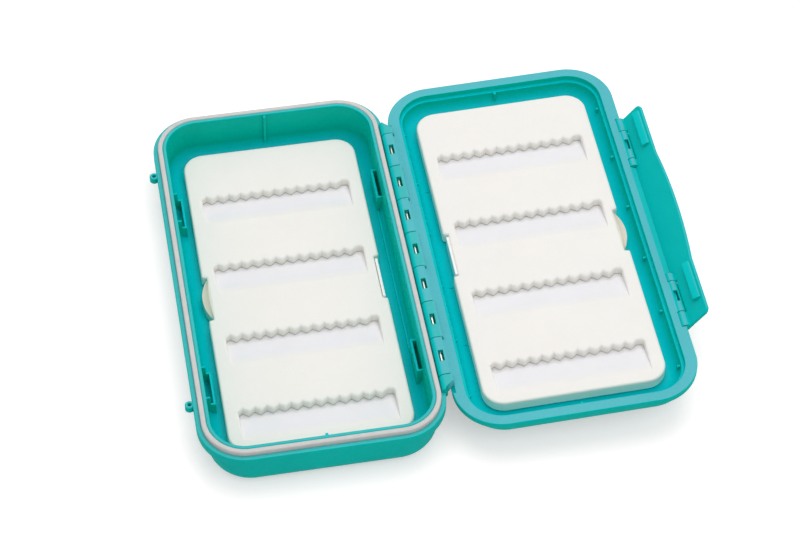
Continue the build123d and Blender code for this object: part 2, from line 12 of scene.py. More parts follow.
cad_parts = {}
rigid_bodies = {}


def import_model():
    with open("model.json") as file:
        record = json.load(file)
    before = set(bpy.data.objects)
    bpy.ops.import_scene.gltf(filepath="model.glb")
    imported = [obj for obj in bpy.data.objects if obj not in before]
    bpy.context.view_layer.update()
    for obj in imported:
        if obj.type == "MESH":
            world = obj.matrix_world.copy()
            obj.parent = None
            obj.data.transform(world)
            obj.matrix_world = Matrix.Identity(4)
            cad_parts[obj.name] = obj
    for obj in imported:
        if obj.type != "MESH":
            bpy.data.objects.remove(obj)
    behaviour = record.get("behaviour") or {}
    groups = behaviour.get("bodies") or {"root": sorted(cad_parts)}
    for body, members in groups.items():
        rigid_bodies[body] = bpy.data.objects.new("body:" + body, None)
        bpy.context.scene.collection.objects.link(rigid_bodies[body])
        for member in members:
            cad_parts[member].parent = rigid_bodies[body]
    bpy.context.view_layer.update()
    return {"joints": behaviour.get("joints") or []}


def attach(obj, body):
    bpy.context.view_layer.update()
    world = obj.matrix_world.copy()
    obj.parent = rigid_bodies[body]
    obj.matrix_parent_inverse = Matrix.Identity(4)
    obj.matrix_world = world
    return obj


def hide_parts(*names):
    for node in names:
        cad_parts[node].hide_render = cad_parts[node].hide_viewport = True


bl_info = {
    "name": "Fly Box Dresser",
    "version": (1, 0, 0),
    "blender": (4, 5, 0),
    "location": "View3D > Sidebar > Fly Box",
    "description": "Builds the visible pieces of an open fly box around its packed frame",
    "category": "Object",
}

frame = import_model()

MM = 0.001
HINGE = Vector(frame["joints"][0]["pos_m"]) / MM

# ---- trays: (half width, half length, corner radius, height) of each ring, and its rounding ----
BASE_RINGS = (
    ((47.31, 94.46, 17.76, 0.0), 9.5),
    ((47.83, 94.98, 18.28, 15.0), 0.3),
    ((51.35, 95.0, 20.3, 15.0), 0.5),
    ((51.35, 95.0, 20.3, 19.6), 0.45),
    ((49.35, 93.0, 18.3, 19.6), 0.15),
    ((49.35, 93.0, 18.3, 19.0), 0.1),
    ((47.15, 90.8, 16.1, 19.0), 0.1),
    ((47.15, 90.8, 16.1, 21.7), 0.5),
    ((45.55, 89.2, 14.5, 21.7), 0.5),
    ((45.2, 88.85, 14.15, 1.8), 5.5),
)
LID_RINGS = (
    ((47.80, 93.65, 17.75, -12.5), 9.0),
    ((48.33, 94.2, 18.28, -4.5), 0.3),
    ((51.35, 95.0, 20.3, -4.5), 0.5),
    ((51.35, 95.0, 20.3, -1.5), 0.5),
    ((46.05, 90.5, 15.0, -1.5), 0.25),
    ((46.05, 90.5, 15.0, -4.1), 0.2),
    ((44.65, 89.1, 13.6, -4.1), 0.3),
    ((44.49, 88.94, 13.44, -10.9), 5.5),
)
PAST_THE_END = Vector((20.0, 20.0, 20.0, 0.0))  # how far a bottom or floor goes on inwards
CORNER_STEPS = 20
LID_CENTRE = 52.75
LID_EDGE = LID_CENTRE + 51.35
LID_RIM = -1.5

# ---- where the trays are polished: (half width, half length, corner radius), and the floor's height
BASE_INSIDE = ((45.75, 89.4, 14.7), 0.0, 1.8)
LID_INSIDE = ((46.1, 90.55, 15.05), LID_CENTRE, -10.9)
# the hinge's right flank gets the level faces' painted sheen
FLANK = (4.4, -1.6, 76.0)  # the hinge's right flank: width, lowest height, half length

# ---- ribs: (start, end, bottom, top) along the box, or outlines of (across, height) ----
RIB_HALF = 0.6
BASE_RIB = (87.9, 90.0, 2.0, 21.1)
LID_RIB = (87.8, 89.6, -10.0, -4.12)
SOCKET = (48.5, 8.5, 1.0)  # middle, half length, thickness of the end walls
LATCH_SOCKET_END = ((-41.35, 1.5), (-41.35, 8.4), (-43.45, 8.4), (-43.45, 13.0), (-46.3, 13.0),
                    (-46.3, 7.5), (-44.8, 4.0), (-42.4, 1.5))
LATCH_SOCKET_FACE = ((-41.35, 1.5), (-41.35, 8.4), (-42.35, 8.4), (-42.35, 1.5))
HINGE_SOCKET_END = ((42.85, 1.9), (42.85, 12.4), (46.3, 12.4), (46.3, 7.5), (44.8, 4.0), (43.4, 2.2))
HINGE_SOCKET_FACE = ((42.85, 1.9), (43.85, 2.6), (43.85, 12.4), (42.85, 12.4))
HINGE_RAIL = ((42.85, 1.9), (43.85, 2.6), (43.85, 4.0), (42.85, 4.0))
RAIL_HALF = 57.0
LID_PEG = ((95.6, -7.6), (98.8, -8.2), (98.8, -5.6), (95.9, -5.7))
LID_NUB = tuple((2 * LID_CENTRE - x, z) for x, z in ((98.0, -7.5), (98.0, -8.9), (97.0, -10.3),
                                                     (96.1, -10.4), (96.1, -7.5)))
PEGS, PEG_PITCH = 6, 29.6
FLOOR_RIBS = (41.4, -14.0, -45.3)
FLOOR_RIB = (10.6, 13.4, -11.1, -10.4)

# ---- seal ----
SEAL_OUTER = (49.3, 92.95, 18.25)
SEAL_INNER = (47.2, 90.85, 16.15)
SEAL_FOOT = 19.0
SEAL_TOP = 21.9

# ---- lanyard rings: their places, and (radius, height) round the section ----
EYELET_PLACE = (-52.6, 63.1)
EYELET_SECTION = ((0.8, 15.9), (1.05, 15.6), (1.6, 15.6), (1.95, 15.95), (1.95, 18.65), (1.6, 19.0),
                  (1.05, 19.0), (0.8, 18.7))

# ---- hinge ----
KNUCKLE_START = -67.9
KNUCKLE_PITCH = 19.4
KNUCKLES = 7
KNUCKLE_GAP = 0.3
END_BLOCK = 7.2
SWEEP_CLEARANCE = 0.25
WEB = 2.8
BASE_WEB_DROP = 5.5
LID_WEB_RADIUS = 4.5
PIN_RADIUS = 0.75
PIN_REACH = 71.3
PIN_PLAY = 0.05
KNUCKLE_FLAT = 2.2
KNUCKLE_SIDE = 1.95
KNUCKLE_SHOULDER = -0.4
END_SLANT = ((-1.35, 74.6), (0.3, 73.0), (2.0, 71.7), (3.4, 70.9))
SLANT_CUT = (76.5, -6.0, 4.0)  # how far out, from how far below the pin, to how far above it
HINGE_FILLET = 2.2
FILLET_ROOT = (0.8, 0.4)  # how far the fillet runs into the knuckle and into the rim
WINDOW = (5.6, 2.1, 1.15)
LATCH_WINDOW = (5.8, 1.7, 1.0)

# ---- latch, in its own frame ----
LATCH_OPEN = math.radians(-52.0)
LATCH_KNUCKLE = 2.2
LATCH_PIN = 0.6
LATCH_FACES = (-2.15, -0.6)
LATCH_END = 59.7
LATCH_ROOT = 2.5
LATCH_REACH = 13.1
LATCH_CORNER = 2.5
LATCH_BELLY = (1.9, 30.5)
LATCH_ARM = (3.1, 282.0)  # reach into the flap, and the angle to which the arm wraps its pin
LATCH_LID_SPAN = (35.5, 52.1)
LATCH_INNER_SPAN = (31.3, 35.35)
LATCH_OUTER_SPAN = (52.25, 59.7)
LATCH_PIN_SPAN = (32.3, 58.7)
LATCH_LIP = (0.4, 3.5, 31.3)
HOOK_SPANS = ((-51.55, -32.05), (36.75, 56.25))
HOOK = ((8.85, -1.3), (12.0, -1.3), (12.0, 0.15), (9.6, 1.35), (8.85, 1.35))
RIM_BEVEL = (2.4, 1.3, 31.3)
RIM_NOSE = (0.38, 0.2, 0.1, 0.6)  # reach, root, thickness at the tip and at the root
LIP_CURL = (1.65, 2.3, -68.0, -121.0)
ROOT_CURL = (2.45, 3.0, -16.0, -80.0)

# ---- foam inserts, in the insert's own frame ----
PAD_HALF = (38.7, 82.2)
PAD_CORNER = 9.0
PAD_FOOT = 0.8
PAD_TOP = 6.0
NOTCH = (-12.0, 11.2, 2.2)
NOTCH_TURN = (1.25, 50)  # radius and angle of the notch's rounded mouth
NOTCH_CORNER = 0.25
ROUND_STEPS = 5
ROW_FAR = (57.2, 18.0, -21.2, -60.4)
ROW_LENGTH = 16.4
ROW_HALF = 32.4
ROW_FLARE = 0.5
ROW_DEPTH = 4.2
RAMP_FOOT = 2.1
RAMP_RUNS = (0.0, 0.5, 4.0, 9.0)
RAMP_TAIL = 0.4
WALL_SHARES = (0.3, 0.65, 0.9)
TEETH = 13
TOOTH_STEPS = 10
TOOTH_POINT = (0.35, 0.85)  # how pointed the teeth are at the pad's top and down in the row
PLAIN_END = (0.62, 0.24)
ROW_CORNER = 1.1
PLATE_HALF = (37.1, 81.6)
PLATE_CORNER = 8.4
TAB_CHORD = 36.2
TAB_BULGE = 3.7
TAB_HALF = 11.4
TAB_MIDDLE = -0.2
TAB_FOOT = 0.4
TAB_STEPS = 24
TAB_PROFILE = ((0.0, 0.1, 0.0), (0.1, 0.1, 0.0), (0.2, 0.25, 0.4), (0.32, 0.5, 1.0), (0.45, 0.7, 0.6),
               (0.6, 0.9, 0.45), (0.75, 1.1, 0.8), (0.9, 1.2, 0.7), (0.96, 1.2, 0.1), (1.0, 1.45, 0.0))
CLIP_MIDDLE = -1.2
CLIP_HALF = 10.5
CLIP_LEAF = ((36.6, 0.3), (37.8, 0.3), (37.8, 6.15), (37.7, 6.35), (37.5, 6.4), (36.75, 6.4), (36.6, 6.3))

# ---- where each part's own frame stands ----
LID_PLACE = Matrix.Translation(HINGE) @ Matrix.Rotation(math.radians(-1.8), 4, "Y")
LATCH_LOCAL = (103.75, 0.0, -3.1)
LATCH_PLACE = LID_PLACE @ Matrix.Translation(LATCH_LOCAL) @ Matrix.Rotation(LATCH_OPEN, 4, "Y")
BASE_INSERT = Matrix.Translation((0.0, 0.0, 1.82))
LID_INSERT = LID_PLACE @ Matrix.Translation((LID_CENTRE, 0.0, -10.88)) @ Matrix.Scale(-1, 4, (1, 0, 0))
INSERTS = (("base", BASE_INSERT), ("lid", LID_INSERT))

# ---- camera, lamps and floor ----
CAMERA_PLACE = (-83.064, -650.416, 814.723)
CAMERA_FORWARD = (0.12397, 0.62466, -0.77099)
CAMERA_RIGHT = (0.98396, -0.17785, 0.01411)
CAMERA_LENS = 108.8
CAMERA_CLIP = (0.01, 20.0)
LAMP_TARGET = (0.05, 0.0, 0.0)
KEY_LAMP = ((0.2, 0.4, 1.35), (1.1, 1.1))
FILL_LAMP = ((0.3, -0.7, 1.2), (0.9, 0.6))
FLOOR_SIZE = 3000.0
FLOOR_MIDDLE = (50.0, 0.0, -0.05)

FEWEST_FACES = 100
SLIVER = 0.001
FINISHES = {}


# ---- outlines and profiles ----
def arc(centre, radius, start, end, steps):
    """Points (a, b) along an arc, its angles in degrees."""
    points = []
    for step in range(steps + 1):
        angle = math.radians(start + (end - start) * step / steps)
        points.append((centre[0] + radius * math.cos(angle), centre[1] + radius * math.sin(angle)))
    return points


def circle(centre, radius, steps):
    return arc(centre, radius, 0, 360 * (steps - 1) / steps, steps - 1)


def corner_arcs(half_width, half_length, radius, steps, centre=0.0):
    """The corners of a rounded rectangle, anticlockwise from the far right one."""
    return [arc((centre + x * (half_width - radius), y * (half_length - radius)), radius, start,
                start + 90, steps)
            for x, y, start in ((1, 1, 0), (-1, 1, 90), (-1, -1, 180), (1, -1, 270))]


def softened(rings, closed=False):
    """Rings with each corner of their profile rounded by the radius that goes with it."""
    corners = [Vector(corner) for corner, _ in rings]
    ends = (corners[-1], corners[0]) if closed else (corners[0] - PAST_THE_END, corners[-1] - PAST_THE_END)
    path = []
    befores, afters = [ends[0], *corners], [*corners[1:], ends[1]]
    for before, corner, after, (_, radius) in zip(befores, corners, afters, rings):
        to_before, reach_before = direction(corner, before)
        to_after, reach_after = direction(corner, after)
        cosine = sum(a * b for a, b in zip(flat(to_before), flat(to_after)))
        bend = math.pi - math.acos(max(-1.0, min(1.0, cosine)))
        length = min(radius * math.tan(bend / 2), reach_before * 0.98, reach_after * 0.98)
        start = corner + to_before * length
        finish = corner + to_after * length
        steps = 10 if radius > 2 else 4
        weight = math.cos(bend / 2)
        for step in range(steps + 1):
            t = step / steps
            shares = ((1 - t) ** 2, 2 * t * (1 - t) * weight, t ** 2)
            path.append((start * shares[0] + corner * shares[1] + finish * shares[2]) / sum(shares))
    return path


def direction(start, end):
    """The step from one ring towards another, for one millimetre of profile, and the whole length."""
    step = end - start
    length = math.hypot(max(abs(step[0]), abs(step[1])), step[3])
    return step / length, length


def flat(step):
    """A step between rings in the profile's own plane: across and up."""
    across = step[0] if abs(step[0]) > 1e-6 else step[1]
    length = math.hypot(across, step[3]) or 1.0
    return across / length, step[3] / length


def offset_loop(points, distances):
    """A closed, anticlockwise loop moved outwards, each point by its own distance."""
    moved = []
    count = len(points)
    for index, point in enumerate(points):
        back = Vector(point) - Vector(points[index - 1])
        ahead = Vector(points[(index + 1) % count]) - Vector(point)
        normal_back = Vector((back.y, -back.x)).normalized()
        normal_ahead = Vector((ahead.y, -ahead.x)).normalized()
        middle = (normal_back + normal_ahead).normalized()
        stretch = min(1.6, 1.0 / max(0.2, middle.dot(normal_ahead)))
        moved.append(tuple(Vector(point) + middle * distances[index] * stretch))
    return moved


def mirrored_spans(span):
    return [span, (-span[1], -span[0])]


# ---- meshes ----
def bridge(bm, lower, upper):
    """Quads between two loops of the same count."""
    for index, vert in enumerate(lower):
        ahead = (index + 1) % len(lower)
        bm.faces.new((vert, lower[ahead], upper[ahead], upper[index]))


def cleaned(bm, reach=2e-4):
    bmesh.ops.remove_doubles(bm, verts=bm.verts, dist=reach)
    bmesh.ops.dissolve_degenerate(bm, edges=bm.edges, dist=reach)
    return bm


def lofted(rings, centre=0.0, closed=False):
    """A solid through rounded-rectangle rings, from the outside of its bottom to its floor."""
    bm = bmesh.new()
    loops = []
    for half_width, half_length, radius, height in rings:
        outline = sum(corner_arcs(half_width, half_length, radius, CORNER_STEPS, centre), [])
        loops.append([bm.verts.new((x, y, height)) for x, y in outline])
    for lower, upper in zip(loops, loops[1:]):
        bridge(bm, lower, upper)
    if closed:
        bridge(bm, loops[-1], loops[0])
    else:
        bm.faces.new(reversed(loops[0]))
        bm.faces.new(loops[-1])
    return cleaned(bm)


def extruded(points, low, high, edge=0.0, upright=False, segments=2):
    """A solid drawn from an outline along the box, or upwards, with its sharp edges rounded."""
    bm = bmesh.new()
    first, last = ([bm.verts.new((a, b, level) if upright else (a, level, b)) for a, b in points]
                   for level in (low, high))
    bridge(bm, first, last)
    bm.faces.new(list(reversed(first)))
    bm.faces.new(last)
    bmesh.ops.recalc_face_normals(bm, faces=bm.faces)
    if edge:
        sharp = [e for e in bm.edges if e.calc_face_angle(0) > math.radians(30)]
        bmesh.ops.bevel(bm, geom=sharp, offset=edge, segments=segments, profile=0.5,
                        affect="EDGES", clamp_overlap=True)
    return bm


def box(x0, x1, y0, y1, z0, z1, edge=0.0):
    return extruded([(x0, y0), (x1, y0), (x1, y1), (x0, y1)], z0, z1, edge, True)


def rod(radius, y0, y1, x=0.0, z=0.0, edge=0.0, steps=48):
    return extruded(circle((x, z), radius, steps), y0, y1, edge)


def as_object(bm, name, place=Matrix(), reverse=False, home=None):
    """The finished solid as an object in metres, in the shared frame."""
    if reverse:
        bmesh.ops.reverse_faces(bm, faces=bm.faces)
    bm.transform(Matrix.Scale(MM, 4) @ place)
    mesh = bpy.data.meshes.new(name)
    bm.to_mesh(mesh)
    bm.free()
    piece = bpy.data.objects.new(name, mesh)
    (home or bpy.context.scene.collection).objects.link(piece)
    return piece


def carved(body, adds, cuts, place, name):
    """The body with solids added and others taken away, and the slivers that leaves mended."""
    shape = as_object(body, name, place)
    groups = []
    for operation, tools in (("UNION", adds), ("DIFFERENCE", cuts)):
        group = bpy.data.collections.new(name + operation)
        bpy.context.scene.collection.children.link(group)
        groups.append(group)
        for tool in tools:
            as_object(tool, name + "_tool", place, home=group)
        step = shape.modifiers.new(operation, "BOOLEAN")
        step.operation = operation
        step.operand_type = "COLLECTION"
        step.collection = group
        step.solver = "EXACT"
    bpy.context.view_layer.update()
    seen = shape.evaluated_get(bpy.context.evaluated_depsgraph_get())
    mesh = bpy.data.meshes.new_from_object(seen)
    shape.modifiers.clear()
    shape.data = mesh
    for group in groups:
        for item in list(group.objects):
            bpy.data.objects.remove(item)
        bpy.data.collections.remove(group)
    if len(mesh.polygons) < FEWEST_FACES:
        raise RuntimeError(name + " lost its faces while it was being carved")
    mended = bmesh.new()
    mended.from_mesh(mesh)
    cleaned(mended, SLIVER * MM)
    mended.to_mesh(mesh)
    mended.free()
    return shape


def dressed(piece, body, nodes, finishes, sharp=38.0):
    """Even shading and finishes, the piece hung on its body, and the frame's parts it stands in for hidden.
    """
    mesh = piece.data
    for finish in finishes:
        mesh.materials.append(FINISHES[finish])
    mesh.polygons.foreach_set("use_smooth", [True] * len(mesh.polygons))
    mesh.set_sharp_from_angle(angle=math.radians(sharp))
    even = piece.modifiers.new("Even shading", "WEIGHTED_NORMAL")
    even.keep_sharp = True
    even.weight = 50
    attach(piece, body)
    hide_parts(*nodes)


def inside(x, y, size):
    """Whether a point lies inside a rounded rectangle."""
    half_width, half_length, radius = size
    across = max(abs(x) - half_width + radius, 0.0)
    along = max(abs(y) - half_length + radius, 0.0)
    return (abs(x) <= half_width and abs(y) <= half_length
            and math.hypot(across, along) <= radius)


def polish(piece, place, size, centre, floor):
    """Gives the tray's inner faces the polished finish, and the hinge's right flank the crown finish, a
    painted sheen in the level faces' tone that hides the shade beside the knuckles; the rest stays textured."""
    back = place.inverted()
    width, low, half = FLANK
    for face in piece.data.polygons:
        spot = back @ (face.center / MM)
        pin = face.center / MM - HINGE
        # the hinge's right flank gets the crown finish, painted sheen that hides its shade
        flank = 0.0 < pin.x < width and pin.z > low and face.normal.x > 0.05 and abs(pin.y) < half
        if inside(spot.x - centre, spot.y, size) and spot.z > floor - 0.2:
            face.material_index = 1
        else:
            face.material_index = 2 if flank else 0


# ---- node helpers ----
def feed(tree, made, inputs):
    """Links or sets each of a node's inputs."""
    for key, value in inputs.items():
        if isinstance(value, bpy.types.NodeSocket):
            tree.links.new(value, made.inputs[key])
        else:
            made.inputs[key].default_value = value


def node(tree, kind, inputs=None, **settings):
    made = tree.nodes.new("ShaderNode" + kind)
    for key, value in settings.items():
        setattr(made, key, value)
    feed(tree, made, inputs or {})
    return made


def blank(name):
    """A material with a plain surface shader, its tree, the shader and object coordinates."""
    material = bpy.data.materials.new(name)
    material.use_nodes = True
    tree = material.node_tree
    return material, tree, tree.nodes["Principled BSDF"], node(tree, "TexCoord")


def noise(tree, place, scale, detail=2.0, roughness=0.5):
    return node(tree, "TexNoise", {"Vector": place.outputs["Object"], "Scale": scale, "Detail": detail,
                                   "Roughness": roughness}).outputs[0]


def drawn_lines(tree, place, squeeze, scale, detail):
    """Noise drawn out into fine lines along the piece."""
    along = node(tree, "Mapping", {"Vector": place.outputs["Object"], "Scale": (1.0, squeeze, 1.0)})
    return node(tree, "TexNoise", {"Vector": along.outputs[0], "Scale": scale, "Detail": detail}).outputs[0]


def mapped(tree, value, low, high, start=0.3, end=0.7):
    return node(tree, "MapRange", {"Value": value, "From Min": start, "From Max": end,
                                   "To Min": low, "To Max": high}).outputs[0]


def mixed(tree, factor, first, second):
    return node(tree, "Mix", {0: factor, 6: first, 7: second}, data_type="RGBA").outputs[2]


def shaded(tree, colour, value):
    """A colour made lighter or darker by a value round 1."""
    return node(tree, "HueSaturation", {"Color": colour, "Value": value}).outputs[0]


def bumped(tree, surface, height, distance, strength, under=None):
    """Relief of a depth in millimetres, over the relief given as under."""
    inputs = {"Height": height, "Distance": distance * MM, "Strength": strength}
    if under:
        inputs["Normal"] = under
    relief = node(tree, "Bump", inputs).outputs[0]
    tree.links.new(relief, surface.inputs["Normal"])
    return relief


def rgba(colour):
    return (*colour, 1.0)


# ---- finishes ----
def moulded(name, tones, roughness, specular, grain, flow):
    """Moulded teal over a fine tool texture, with light painted in by facing: upright faces take the deepest
    tone and level ones a painted sheen.
    """
    material, tree, surface, place = blank(name)
    painted_light_facing = node(tree, "SeparateXYZ", {0: place.outputs["Normal"]}).outputs["Z"]
    upright, sloped, level = (rgba(tone) for tone in tones)
    # painted light: the deepest tone on upright faces, a paler one on slopes, and a painted sheen on level
    # faces
    colour = mixed(tree, mapped(tree, painted_light_facing, 0.0, 1.0, 0.1, 0.75), upright, sloped)
    colour = mixed(tree, mapped(tree, painted_light_facing, 0.0, 1.0, 0.88, 0.985), colour, level)
    colour = shaded(tree, colour, mapped(tree, noise(tree, place, 35.0, 3.0), 0.965, 1.035))
    speck = noise(tree, place, 900.0, 3.0, 0.6)
    rub = noise(tree, place, 160.0, 4.0, 0.65)
    feed(tree, surface, {
        "Base Color": shaded(tree, colour, mapped(tree, speck, 0.975, 1.025, 0.35, 0.65)),
        "Roughness": mapped(tree, rub, roughness - 0.05, roughness + 0.07, 0.35, 0.68),
        "Specular IOR Level": specular})
    under = bumped(tree, surface, noise(tree, place, 90.0, 1.0), flow, 0.6)
    bumped(tree, surface, noise(tree, place, 2600.0, 2.0), grain, 0.5, under)
    return material


def seal_rubber(colour):
    """Soft grey rubber with a faint bloom."""
    material, tree, surface, place = blank("seal_rubber")
    bloom = noise(tree, place, 240.0, 5.0, 0.7)
    feed(tree, surface, {
        "Base Color": shaded(tree, rgba(colour), mapped(tree, bloom, 0.94, 1.05)),
        "Roughness": mapped(tree, bloom, 0.42, 0.6), "Specular IOR Level": 0.4,
        "Subsurface Weight": 0.15, "Subsurface Radius": (1.0, 0.9, 0.8), "Subsurface Scale": 0.001})
    bumped(tree, surface, noise(tree, place, 1800.0, 3.0), 0.02, 0.5)
    return material


def foam_skin(name, colour, shade, spread, painted_foot_shade, roughness, cell):
    """Closed-cell foam: a fine cell pattern, slightly mottled. Down in the rows the tone moves towards a
    second colour and is darkened at the foot of the teeth by a given factor: on the pad's top foam this is
    painted shade and a dark painted line at the foot.
    """
    material, tree, surface, place = blank(name)
    mottle = noise(tree, place, 60.0, 4.0, 0.6)
    cells = node(tree, "TexVoronoi", {"Vector": place.outputs["Object"], "Scale": 1.0 / (cell * MM)})
    pores = mapped(tree, cells.outputs["Distance"], 0.0, 1.0, 0.1, 0.75)
    depth = node(tree, "Attribute", attribute_name="row_depth").outputs["Fac"]
    # painted shade on the pad's foam: towards the foot of the teeth the tone moves to the shade colour and
    # darkens into a dark painted line
    tone = mixed(tree, mapped(tree, depth, 0.0, 1.0, 0.0, spread), rgba(colour), rgba(shade))
    tone = shaded(tree, tone, mapped(tree, depth, 1.0, painted_foot_shade, 0.78, 1.0))
    tone = shaded(tree, tone, mapped(tree, mottle, 0.985, 1.012))
    feed(tree, surface, {
        "Base Color": shaded(tree, tone, mapped(tree, pores, 0.975, 1.0, 0.0, 1.0)),
        "Roughness": mapped(tree, mottle, roughness - 0.06, roughness + 0.04),
        "Specular IOR Level": 0.25, "Sheen Weight": 0.15})
    under = bumped(tree, surface, pores, 0.06, 0.35)
    bumped(tree, surface, mottle, 0.25, 0.3, under)
    return material


def thumb_plastic(strip, scoop):
    """Ivory plate plastic: the tab's lip is pale and its thumb scoop is tan."""
    material, tree, surface, place = blank("plate_ivory")
    speck = noise(tree, place, 700.0, 4.0, 0.6)
    # tan across the scoop, in the amount given at each profile point, and pale along the lip
    scoop_tan = node(tree, "Attribute", attribute_name="scoop").outputs["Fac"]
    colour = mixed(tree, scoop_tan, rgba(strip), rgba(scoop))
    colour = shaded(tree, colour, mapped(tree, noise(tree, place, 55.0), 0.96, 1.03))
    feed(tree, surface, {"Base Color": shaded(tree, colour, mapped(tree, speck, 0.98, 1.01)),
                         "Roughness": mapped(tree, speck, 0.38, 0.5)})
    bumped(tree, surface, speck, 0.01, 0.5)
    return material


def clip_gloss(colour):
    """Bright white polished plastic with faint drawing lines along its length."""
    material, tree, surface, place = blank("clip_gloss")
    lines = drawn_lines(tree, place, 0.06, 1500.0, 2.0)
    feed(tree, surface, {"Base Color": shaded(tree, rgba(colour), mapped(tree, lines, 0.97, 1.01)),
                         "Roughness": mapped(tree, lines, 0.12, 0.24)})
    bumped(tree, surface, lines, 0.01, 0.4)
    return material


def drawn_steel(colour, stain):
    """Drawn steel wire: fine lines along the pin, and a slight stain."""
    material, tree, surface, place = blank("pin_steel")
    lines = drawn_lines(tree, place, 0.03, 4000.0, 3.0)
    patches = mapped(tree, noise(tree, place, 300.0, 4.0), 0.0, 0.5, 0.45, 0.75)
    feed(tree, surface, {"Base Color": mixed(tree, patches, rgba(colour), rgba(stain)),
                         "Roughness": mapped(tree, lines, 0.24, 0.4), "Metallic": 1.0})
    bumped(tree, surface, lines, 0.008, 0.5)
    return material


def lit_paper(colour, lift):
    """The floor: a pale sheet that keeps the box's shadow and reads white to the camera."""
    material, tree, surface, _ = blank("studio_floor")
    feed(tree, surface, {"Base Color": rgba(colour), "Roughness": 0.9, "Specular IOR Level": 0.0,
                         "Emission Color": (1.0, 1.0, 1.0, 1.0),
                         "Emission Strength": seen_rays(tree, 0.0, lift)})
    return material


def seen_rays(tree, unseen, seen):
    """One strength for camera, glossy and transmission rays, and another for the rest."""
    rays = node(tree, "LightPath").outputs
    some = node(tree, "Math", {0: rays["Is Camera Ray"], 1: rays["Is Glossy Ray"]},
                operation="MAXIMUM").outputs[0]
    any_ray = node(tree, "Math", {0: some, 1: rays["Is Transmission Ray"]}, operation="MAXIMUM").outputs[0]
    return mapped(tree, any_ray, unseen, seen, 0.0, 1.0)


def mix_finishes(colours):
    """Every finish, made once and shared by the pieces."""
    upright, sloped = colours.rim_upright, colours.rim_sloped
    inner = (colours.inner_upright, colours.inner_level_sheen, colours.inner_level_sheen)
    # crown paints the level faces' sheen on every face it covers: polish gives it to the hinge's right flank
    rim = {"textured": (upright, sloped, colours.rim_level_sheen),
           "base_textured": (upright, sloped, colours.rim_ledge_sheen), "crown": [colours.rim_level_sheen] * 3}
    for label, tones in rim.items():
        FINISHES[label] = moulded("teal_" + label, tones, 0.55, 0.05, 0.012, 0.02)
    FINISHES.update(
        polished=moulded("teal_polished", inner, 0.26, 0.04, 0.003, 0.03),
        pin_teal=moulded("teal_pin", inner, 0.3, 0.2, 0.004, 0.005),
        rubber=seal_rubber(colours.rubber),
        # the pad's foam paints shade down its rows and a dark painted line at the teeth's foot
        foam=foam_skin("foam_white", colours.foam, colours.foam_shade, 0.85, 0.5, 0.9, 0.45),
        ramp=foam_skin("foam_ramp", colours.foam, colours.ramp, 0.35, 1.0, 0.8, 0.3),
        ivory=thumb_plastic(colours.strip, colours.scoop),
        gloss=clip_gloss(colours.gloss),
        steel=drawn_steel(colours.steel, colours.stain))


# ---- base and lid ----
def knuckle_spans():
    """The seven spans along the hinge, from the near end: the lid's are first, third and so on."""
    spans = []
    for index in range(KNUCKLES):
        start = KNUCKLE_START + index * KNUCKLE_PITCH
        spans.append((start + KNUCKLE_GAP / 2, start + KNUCKLE_PITCH - KNUCKLE_GAP / 2))
    return spans


def lid_spans():
    return knuckle_spans()[0::2]


def base_spans():
    end = -KNUCKLE_START + KNUCKLE_GAP / 2
    return knuckle_spans()[1::2] + [(-end - END_BLOCK, -end), (end, end + END_BLOCK)]


def sweep_pockets(spans, x, z, radius):
    """Room for knuckles that turn."""
    return [rod(radius + SWEEP_CLEARANCE, y0 - KNUCKLE_GAP, y1 + KNUCKLE_GAP, x, z) for y0, y1 in spans]


def pin_windows(spans, x, z, size, radius):
    """A slot in the middle of each knuckle, down to the pin."""
    length, width, depth = size
    tools = []
    for y0, y1 in spans:
        middle = (y0 + y1) / 2
        tools.append(box(x - width / 2, x + width / 2, middle - length / 2, middle + length / 2,
                         z - depth, z + radius + 1.0))
    return tools


def hinge_bore(x=0.0, z=0.0):
    return rod(PIN_RADIUS + PIN_PLAY, -PIN_REACH - 0.2, PIN_REACH + 0.2, x, z, steps=24)


def knuckle_arc(radius, start, end):
    """An arc round the pin whose crown is levelled off, and rounds down towards the base."""
    points = []
    for a, b in arc((0.0, 0.0), radius, start, end, 48):
        if b > 0.0:
            past = max(0.0, KNUCKLE_SHOULDER - a) / (radius + KNUCKLE_SHOULDER)
            b = min(b, KNUCKLE_FLAT * math.sqrt(max(0.0, 1.0 - past ** 2)))
        points.append((a, b))
    return points


def web_angle(radius):
    """Where round the knuckle its web begins, in degrees."""
    return math.degrees(math.asin(WEB / radius)) if radius > WEB else 90.0


def end_slants():
    """What trims the two end blocks in line with the tray's rounded corners."""
    out, below, above = SLANT_CUT
    outline = [*END_SLANT, (END_SLANT[-1][0], out), (END_SLANT[0][0], out)]
    return [extruded([(HINGE.x + x, side * y) for x, y in outline], HINGE.z + below, HINGE.z + above,
                     upright=True) for side in (-1, 1)]


def base_hinge_blocks(radius, edge):
    """Knuckles and end blocks, each on its web down the flange's edge."""
    profile = [(0.0, -BASE_WEB_DROP), *knuckle_arc(radius, -90, 270 - web_angle(radius)),
               (-WEB, -BASE_WEB_DROP)]
    profile = [(HINGE.x + x, HINGE.z + z) for x, z in profile]
    return [extruded(profile, y0, y1, edge) for y0, y1 in base_spans()]


